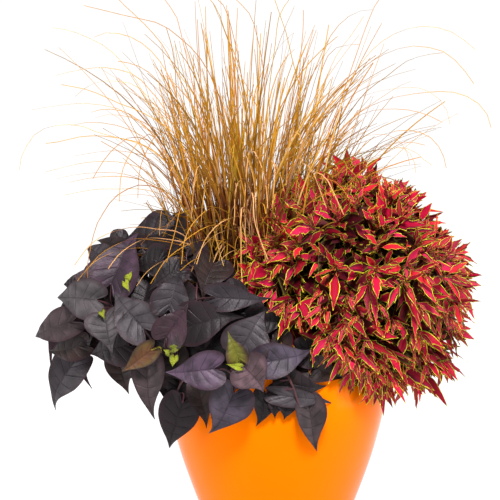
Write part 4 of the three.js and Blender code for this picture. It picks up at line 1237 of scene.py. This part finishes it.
PAIR_SPREAD = np.radians([14, 32, 50, 64, 76, 84, 92, 100, 108])  # from the shoot's direction
PAIR_PAINTED_SHADE = [1, 1, 1, 0.8, 0.4, 0.12, 0.06, 0.04, 0.03]  # painted shade of each pair, the deeper ones darker
SHADED_PAIRS = 5  # from this pair on: broad plain leaves hidden in shade, and painted dark as shade
COLEUS_THICKNESS = 0.0004
COLEUS_WAVE = 0.0014  # height of the waves of a leaf's margin
WAVE_TURN = 17  # radians of them along a leaf
YOUNG_PAIRS = 2  # which are greener, with less crimson
YOUNG_GREEN = np.array([0.03, 0.018, 0.002])
SMALL_LEAF = 0.018  # length of the ones where older pairs meet the stem

# Tips of shoots that break the round of the head: to the left in front of the sedge, over the rim of the pot,
# and at the top. (across, up) from the rim's centre in the front elevation, then how far out, in millimetres.
STRAY_TIPS = [
    [-20, 178, 90], [-40, 152, 95], [-12, 120, 125], [-8, 222, 60], [8, 165, 112], [6, 200, 90],
    [14, 96, 150], [-42, 186, 78], [-50, 138, 96], [22, 236, 50],
    [84, 30, 184], [104, 14, 180], [126, -8, 174], [146, -18, 162], [164, -24, 146], [184, -34, 130],
    [204, -36, 104], [222, -30, 80], [176, -4, 150], [150, 8, 165], [122, 12, 175], [163, 152, 166],
    [92, 268, 10], [142, 308, 0], [196, 272, 0], [116, 266, 60], [44, 256, 40], [284, -18, 30],
]

# Azimuth and elevation, in degrees, of each branch's place on the head. Azimuth 0 is the right side.
BRANCHES = {
    "top": (0, 88), "upper_front": (-85, 48), "upper_right": (35, 48), "upper_left": (155, 48),
    "front_left": (-145, 6), "front": (-97, 8), "front_right": (-46, 6), "right": (5, 8),
    "back_right": (56, 6), "back": (107, 8),
    "low_front": (-68, -36), "low_right": (-8, -38), "low_back": (52, -36),
}

# Where a leaf's rows start on its midrib, and where they end for a plain outline and for a lobed one, as
# shares of the length and of the half width.
ROW_STARTS = np.array([0.0, 0.10, 0.18, 0.26, 0.34, 0.42, 0.52, 0.62, 0.70, 0.84, 0.985])
PLAIN = np.array([
    [0, 0.05], [0.12, 0.10], [0.22, 0.30], [0.32, 0.60], [0.42, 0.86], [0.50, 0.97],
    [0.60, 0.95], [0.70, 0.78], [0.79, 0.55], [0.89, 0.28], [1.0, 0.02]])
LOBED = np.array([
    [0, 0.05], [0.10, 0.14], [0.20, 0.46], [0.33, 0.98], [0.50, 1.42], [0.43, 0.78],
    [0.53, 0.66], [0.72, 0.92], [0.67, 0.50], [0.85, 0.25], [1.0, 0.02]])
LEAF_COLUMNS = np.array([-1, -0.55, 0, 0.55, 1])

# A leaf's rows and columns, the columns of its lower side, its half width as a share of its length, and how
# far it may be lobed: for one in the light and for one in the shade.
LIT_FORM = {"rows": np.arange(11), "columns": np.arange(5), "under": [0, 2, 4], "half": 0.128, "lobes": 1}
SHADED_FORM = {"rows": np.array([0, 3, 5, 7, 10]), "columns": np.array([0, 2, 4]), "under": [0, 1, 2],
               "half": 0.20, "lobes": 0}

# Tones of a leaf's middle and of its sides.
CRIMSON = np.array([[0.44, 0.005, 0.035], [0.48, 0.012, 0.060], [0.31, 0.002, 0.020], [0.52, 0.011, 0.026]])
MAROON = np.array([[0.10, 0.004, 0.018], [0.15, 0.005, 0.030], [0.05, 0.006, 0.014], [0.22, 0.004, 0.022]])
MIDDLE_WIDTHS = [0.25, 0.45, 0.64, 0.82]  # shares of a leaf's width that its middle may take
MIDDLE_SHARES = [0.08, 0.14, 0.33, 0.45]

branch_ways = np.array([direction(*np.radians(place)) for place in BRANCHES.values()])


def branch_path(azimuth, elevation):
    """A branch: up out of the soil, over the rim if it goes out low, to its fork inside the head. The top one
    is rooted in the middle, and the others in a circle."""
    a, e = np.radians([azimuth, elevation])
    spread = 0 if elevation > 80 else COLEUS_ROOT_CIRCLE
    foot = COLEUS_CROWN + [spread * np.cos(a), spread * np.sin(a), -0.003]
    neck = foot + [0, 0, 0.023]
    hub = DOME + direction(a, e) * DOME_RADII * FORK_DEPTH
    over = (foot + hub) / 2
    over[2] = max(over[2], POT_HEIGHT + RIM_MARGIN + 0.018)
    hub[2] = max(hub[2], POT_HEIGHT + RIM_MARGIN)
    return curve_through([foot, neck, over, hub], BRANCH_POINTS)


def shoot_places():
    """Even directions over a ball by the golden angle, jittered, and the tips they give on the head, whose
    reach to the right is least at the shoulder. Left out are tips inside the pot and deep in the vine; added
    are the stray ones."""
    rng = np.random.default_rng(300)
    k = np.arange(SHOOTS)
    z = 1 - (k + 0.5) * BALL_DEPTH / SHOOTS
    angle = k * GOLDEN_ANGLE
    flat = np.sqrt(1 - z**2)
    even = np.stack([flat * np.cos(angle), flat * np.sin(angle), z], axis=-1)
    way = unit(even + rng.normal(0, 0.05, (SHOOTS, 3)))
    reach = np.interp(way[:, 2:], [-0.6, -0.3, 0.15, 0.4, 0.7, 1], [0.93, 0.94, 1.05, 0.96, 0.80, 0.94])
    shape = 1 + (reach - 1) * np.clip(way[:, :1], 0, 1) ** 0.5
    tip = DOME + way * DOME_RADII * shape * rng.uniform(0.86, 1.05, (SHOOTS, 1))
    radius, lift = POT_KEEP_OUT
    in_pot = (np.hypot(tip[:, 0], tip[:, 1]) < radius) & (tip[:, 2] < POT_HEIGHT + lift)
    in_vine = (tip < VINE_CORNER).all(axis=1)
    keep = ~in_pot & ~in_vine
    stray = np.array([in_view(*(np.array(row) * MILLIMETRE)) for row in STRAY_TIPS])
    stray_way = unit((stray - DOME) / DOME_RADII)
    return np.concatenate([way[keep], stray_way]), np.concatenate([tip[keep], stray])


def coleus_blades(base, axis, normal, length, droop, form, rng):
    """Upper grids of leaves. Each row runs from the midrib out and forward to the outline, which is between
    the plain and the lobed one. The fold lifts the edges, the margin waves, and the leaf twists; it bends
    down, and curls to one side, as the square of the share of its length."""
    n = len(length)
    across = np.cross(axis, normal)
    t = LEAF_COLUMNS[None, None, form["columns"]]
    away = np.abs(t)

    def each(low, high):
        return rng.uniform(low, high, (n, 1, 1))

    lobe = np.where(t < 0, each(-0.3, 1.2), each(-0.3, 1.2)).clip(0, 1)
    lobe = form["lobes"] * lobe[..., None]
    end = PLAIN[None, form["rows"], None] * (1 - lobe) + LOBED[None, form["rows"], None] * lobe
    rib = ROW_STARTS[None, form["rows"], None]
    along = rib + (end[..., 0] - rib) * away
    size = length[:, None, None]
    half = form["half"] * each(0.8, 1.25) * size
    wide = end[..., 1] * t * half
    fold = each(0.12, 0.55)
    swing = COLEUS_WAVE * each(0.3, 1.2) * away**2
    wave = swing * np.sin(each(0, 6) + WAVE_TURN * along * np.sign(t))
    rise = fold * np.abs(wide) * (1.25 - 0.25 * away) + wave + each(-0.1, 0.35) * wide * along
    down = np.array([0, 0, -1]) * (droop[:, None, None] * size * along**2)[..., None]
    curl = each(-0.2, 0.2) * size * along**2
    return (base[:, None, None]
            + axis[:, None, None] * (along * size)[..., None]
            + across[:, None, None] * (wide + curl)[..., None]
            + normal[:, None, None] * rise[..., None] + down)


def coleus_places(form):
    """Each point's place on its leaf: from side to side, and from stalk to tip."""
    side, along = np.meshgrid(LEAF_COLUMNS[form["columns"]] / 2 + 0.5, ROW_STARTS[form["rows"]])
    return np.stack([side, along], axis=-1)


def add_shoots(growth, way, tip, hub, rng):
    """Adds shoots with their stems and crossed pairs of leaves, and small leaves where older pairs meet the
    stem. A shoot's stem bends out from the hub, and ends along its heading."""
    n = len(way)
    low = np.clip(0.5 - way[:, 2:], 0, 1)
    heading = unit(way + [0, 0, 0.15] + low * [0, 0, -0.6])
    bend = (hub + tip) / 2 - heading * 0.006 + [0, 0, 0.008]
    neck = tip - heading * STEM_NECK
    stems = np.stack([curve_through([hub, b, c, t], STEM_POINTS) for b, c, t in zip(bend, neck, tip)])
    add_stems(growth, stems, np.linspace(*STEM_RADII, STEM_POINTS), STEM_SIDES, STEM_TONE)
    steps = np.linalg.norm(np.diff(stems, axis=1), axis=2)
    walked = np.append(np.zeros((n, 1)), np.cumsum(steps, axis=1), axis=1)
    side = unit(np.cross(heading, [0.2, 0.3, 1.0]))
    other = np.cross(heading, side)
    start_turn = rng.uniform(0, np.pi, n)
    rise = np.clip(heading[:, 2], 0, 1)
    vigour = (1 + 0.30 * np.clip(-way[:, 0], 0, 1)) * (0.84 + 0.42 * (np.arange(n) * GOLDEN_SHARE % 1))
    for pair, shade in enumerate(PAIR_PAINTED_SHADE):
        length = PAIR_LENGTH[pair] * vigour
        spread = PAIR_SPREAD[pair] * (1 - 0.35 * rise)
        at = np.maximum(walked[:, -1] - PAIR_SETBACK[pair] * rng.uniform(0.85, 1.15, n), 0)
        node = np.array([[np.interp(a, w, stem[:, i]) for i in range(3)]
                         for a, w, stem in zip(at, walked, stems)])
        for hand in (0, 1):
            turn = start_turn + pair * np.pi / 2 + hand * np.pi + rng.normal(0, 0.22, n)
            swing = side * np.cos(turn)[:, None] + other * np.sin(turn)[:, None]
            add_coleus_leaves(growth, node, heading, swing, spread, length, pair, shade, rng)
            if 2 < pair < SHADED_PAIRS:
                aside = swing + 0.5 * np.cross(heading, swing)
                add_coleus_leaves(growth, node, heading, aside, 0.7, SMALL_LEAF, 1, shade, rng)


def add_coleus_leaves(growth, node, heading, swing, spread, size, age, shade, rng):
    """Adds one leaf at each node: it leaves the stem by the spread angle, and its face looks along the stem
    and to the light. The leaves of a shoot that points up stand; those of the others hang."""
    n = len(node)
    angle = (spread + rng.normal(0, 0.13, n))[:, None]
    sag = 0.34 - 0.47 * np.clip(heading[:, 2:], 0, 1)
    axis = unit(heading * np.cos(angle) + unit(swing) * np.sin(angle) - sag * [0, 0, 1])
    length = size * rng.uniform(0.82, 1.16, n)
    sunward = np.where(heading[:, 1:2] < 0.35, [[0, -0.75, 0.35]], [[0, 0, 0.45]])
    leftward = np.clip(-heading[:, :1], 0, 1)
    face = unit(heading + sunward + leftward * [0.5, -0.6, 0.2] + rng.normal(0, 0.34, (n, 3)))
    normal = unit(face - (face * axis).sum(-1, keepdims=True) * axis)
    droop = rng.uniform(0.05, 0.42, n) * min(1.0, 0.4 + 0.15 * age)
    form = LIT_FORM if age < SHADED_PAIRS else SHADED_FORM
    blades = coleus_blades(node + unit(swing) * 0.001, axis, normal, length, droop, form, rng)
    center = CRIMSON[rng.integers(0, 4, n)] * rng.uniform(0.8, 1.15, (n, 1))
    outer = MAROON[rng.integers(0, 4, n)] * rng.uniform(0.6, 1.3, (n, 1))
    width = rng.choice(MIDDLE_WIDTHS, n, p=MIDDLE_SHARES)
    # Painted shade: each pair's colours are darkened by its painted shade, the deepest pairs to near black.
    center, outer = center * shade, outer * shade
    if age < YOUNG_PAIRS:
        center = center * 0.8 + YOUNG_GREEN * shade
        width = width * 0.6
    # The tone's Alpha carries the same painted shade to the finish, which darkens the margin by it too.
    tone = np.column_stack([center, np.full(n, shade)])
    trim = np.column_stack([outer, width])
    add_leaves(growth, blades, normal, COLEUS_THICKNESS, form["under"], coleus_places(form), tone, trim,
               (0, 1))


def coleus_finish(name, shade):
    """Crimson middle and maroon sides by the leaf's own tone and trim, and a margin of yellow-green. The
    tone's
    Alpha is the leaf's painted shade: it darkens the margin to near black on the deep leaves. Shade mixes in
    the dull rose of the lower side, less on the leaves painted dark."""
    finish = Finish(name)
    away = abs(2.0 * finish.place("X") - 1.0)
    along = finish.place("Y")
    tone = finish.painted("tone")
    painted_light_level = finish.painted("tone", "Alpha")
    trim = finish.painted("trim")
    width = finish.painted("trim", "Alpha")
    ragged = finish.noise(230.0, 3)
    patch = finish.noise(130.0, 4)
    middle = (away + 0.55 * (patch - 0.5) - width).step(0.14, -0.10)
    margin = (away + 0.15 * (ragged - 0.5)).step(0.83, 0.93)
    tip = (along + 0.1 * (ragged - 0.5)).step(0.90, 0.97)
    edge = margin.math("MAXIMUM", margin, tip)
    rib = away.step(0.09, 0.03)
    color = finish.mixed(middle, trim, tone)
    color = finish.mixed(0.35 * rib, color, (0.10, 0.01, 0.03))
    color = finish.mixed(shade * painted_light_level, color, (0.18, 0.016, 0.035))
    lime = finish.mixed(patch.step(0.35, 0.65), (0.78, 0.68, 0.02), (0.38, 0.42, 0.012))
    # Painted shade: the margin darkens to near black on the leaves painted dark.
    lime = finish.mixed(painted_light_level, (0.012, 0.014, 0.002), lime)
    color = finish.mixed(edge * 0.92, color, lime)
    return finish.surface(
        Base_Color=color, Roughness=0.46 + 0.14 * ragged, Normal=finish.bump(patch - rib, 0.0004, 0.7),
        Specular_IOR_Level=0.2, Specular_Tint=(1.0, 0.5, 0.45, 1))


coleus_finishes = [
    coleus_finish("crimson_leaf", 0.0), coleus_finish("rose_leaf_underside", 0.4), stem_finish()]
shoot_ways, shoot_tips = shoot_places()
owner = np.argmax(shoot_ways @ branch_ways.T, axis=1)
for number, (side, (azimuth, elevation)) in enumerate(BRANCHES.items()):
    branch = Growth()
    path = branch_path(azimuth, elevation)
    radii = np.linspace(*BRANCH_RADII, BRANCH_POINTS)
    add_stems(branch, path[None], radii, BRANCH_SIDES, BRANCH_TONE)
    mine = owner == number
    add_shoots(branch, shoot_ways[mine], shoot_tips[mine], path[-1], np.random.default_rng(320 + number))
    branch.make(f"coleus_shoots_{side}", [f"coleus_branch_{side}"], coleus_finishes)

# ---- Studio ----
# A plain white floor that glows softly, like a light table, a bright even sky, a soft key light from the
# upper front and a weaker one at each side, and the camera.

FLOOR_HALF = 60.0
SKY_STRENGTH = 0.55
LAMPS = {"key_light": (160, 0.6, (0.2, -2.0, 2.6)), "left_light": (30, 1.0, (-2.4, -0.5, 0.5)),
         "right_light": (24, 1.0, (2.4, -0.7, 0.5))}  # power in watts, side and place
LAMP_TARGET = (0, 0, 0.42)
CAMERA_PLACE = (-0.0444, -3.9366, 1.0408)
CAMERA_TARGET = (-0.0444, 0.0245, 0.4841)
FOCAL_LENGTH = 172.04  # in millimetres, as the sensor
SENSOR_WIDTH = 36


def studio_floor():
    """A flat square, far larger than the view, at the height of the pot's foot."""
    corners = [(-1, -1), (1, -1), (1, 1), (-1, 1)]
    mesh = bpy.data.meshes.new("studio_floor")
    mesh.from_pydata([(x * FLOOR_HALF, y * FLOOR_HALF, 0) for x, y in corners], [], [(0, 1, 2, 3)])
    finish = Finish("pale_floor")
    mesh.materials.append(finish.surface(
        Base_Color=(0.35, 0.35, 0.35, 1), Roughness=0.8, Specular_IOR_Level=0.1,
        Emission_Color=(1, 1, 1, 1), Emission_Strength=0.83))
    floor = bpy.data.objects.new("studio_floor", mesh)
    bpy.context.scene.collection.objects.link(floor)


def aimed(thing, name, place, target):
    """An object of the thing at a place, looking at the target."""
    made = bpy.data.objects.new(name, thing)
    bpy.context.scene.collection.objects.link(made)
    made.location = place
    gaze = Vector(target) - Vector(place)
    made.rotation_euler = gaze.to_track_quat("-Z", "Y").to_euler()
    return made


studio_floor()
sky = bpy.data.worlds.new("bright_sky")
sky.use_nodes = True
sky.node_tree.nodes["Background"].inputs["Color"].default_value = (1, 1, 1, 1)
sky.node_tree.nodes["Background"].inputs["Strength"].default_value = SKY_STRENGTH
bpy.context.scene.world = sky
for name, (power, size, place) in LAMPS.items():
    lamp = bpy.data.lights.new(name, "AREA")
    lamp.energy = power
    lamp.size = size
    aimed(lamp, name, place, LAMP_TARGET)

camera_data = bpy.data.cameras.new("camera")
camera_data.lens = FOCAL_LENGTH
camera_data.sensor_width = SENSOR_WIDTH
bpy.context.scene.camera = aimed(camera_data, "camera", CAMERA_PLACE, CAMERA_TARGET)
bpy.context.scene.view_settings.view_transform = "Standard"
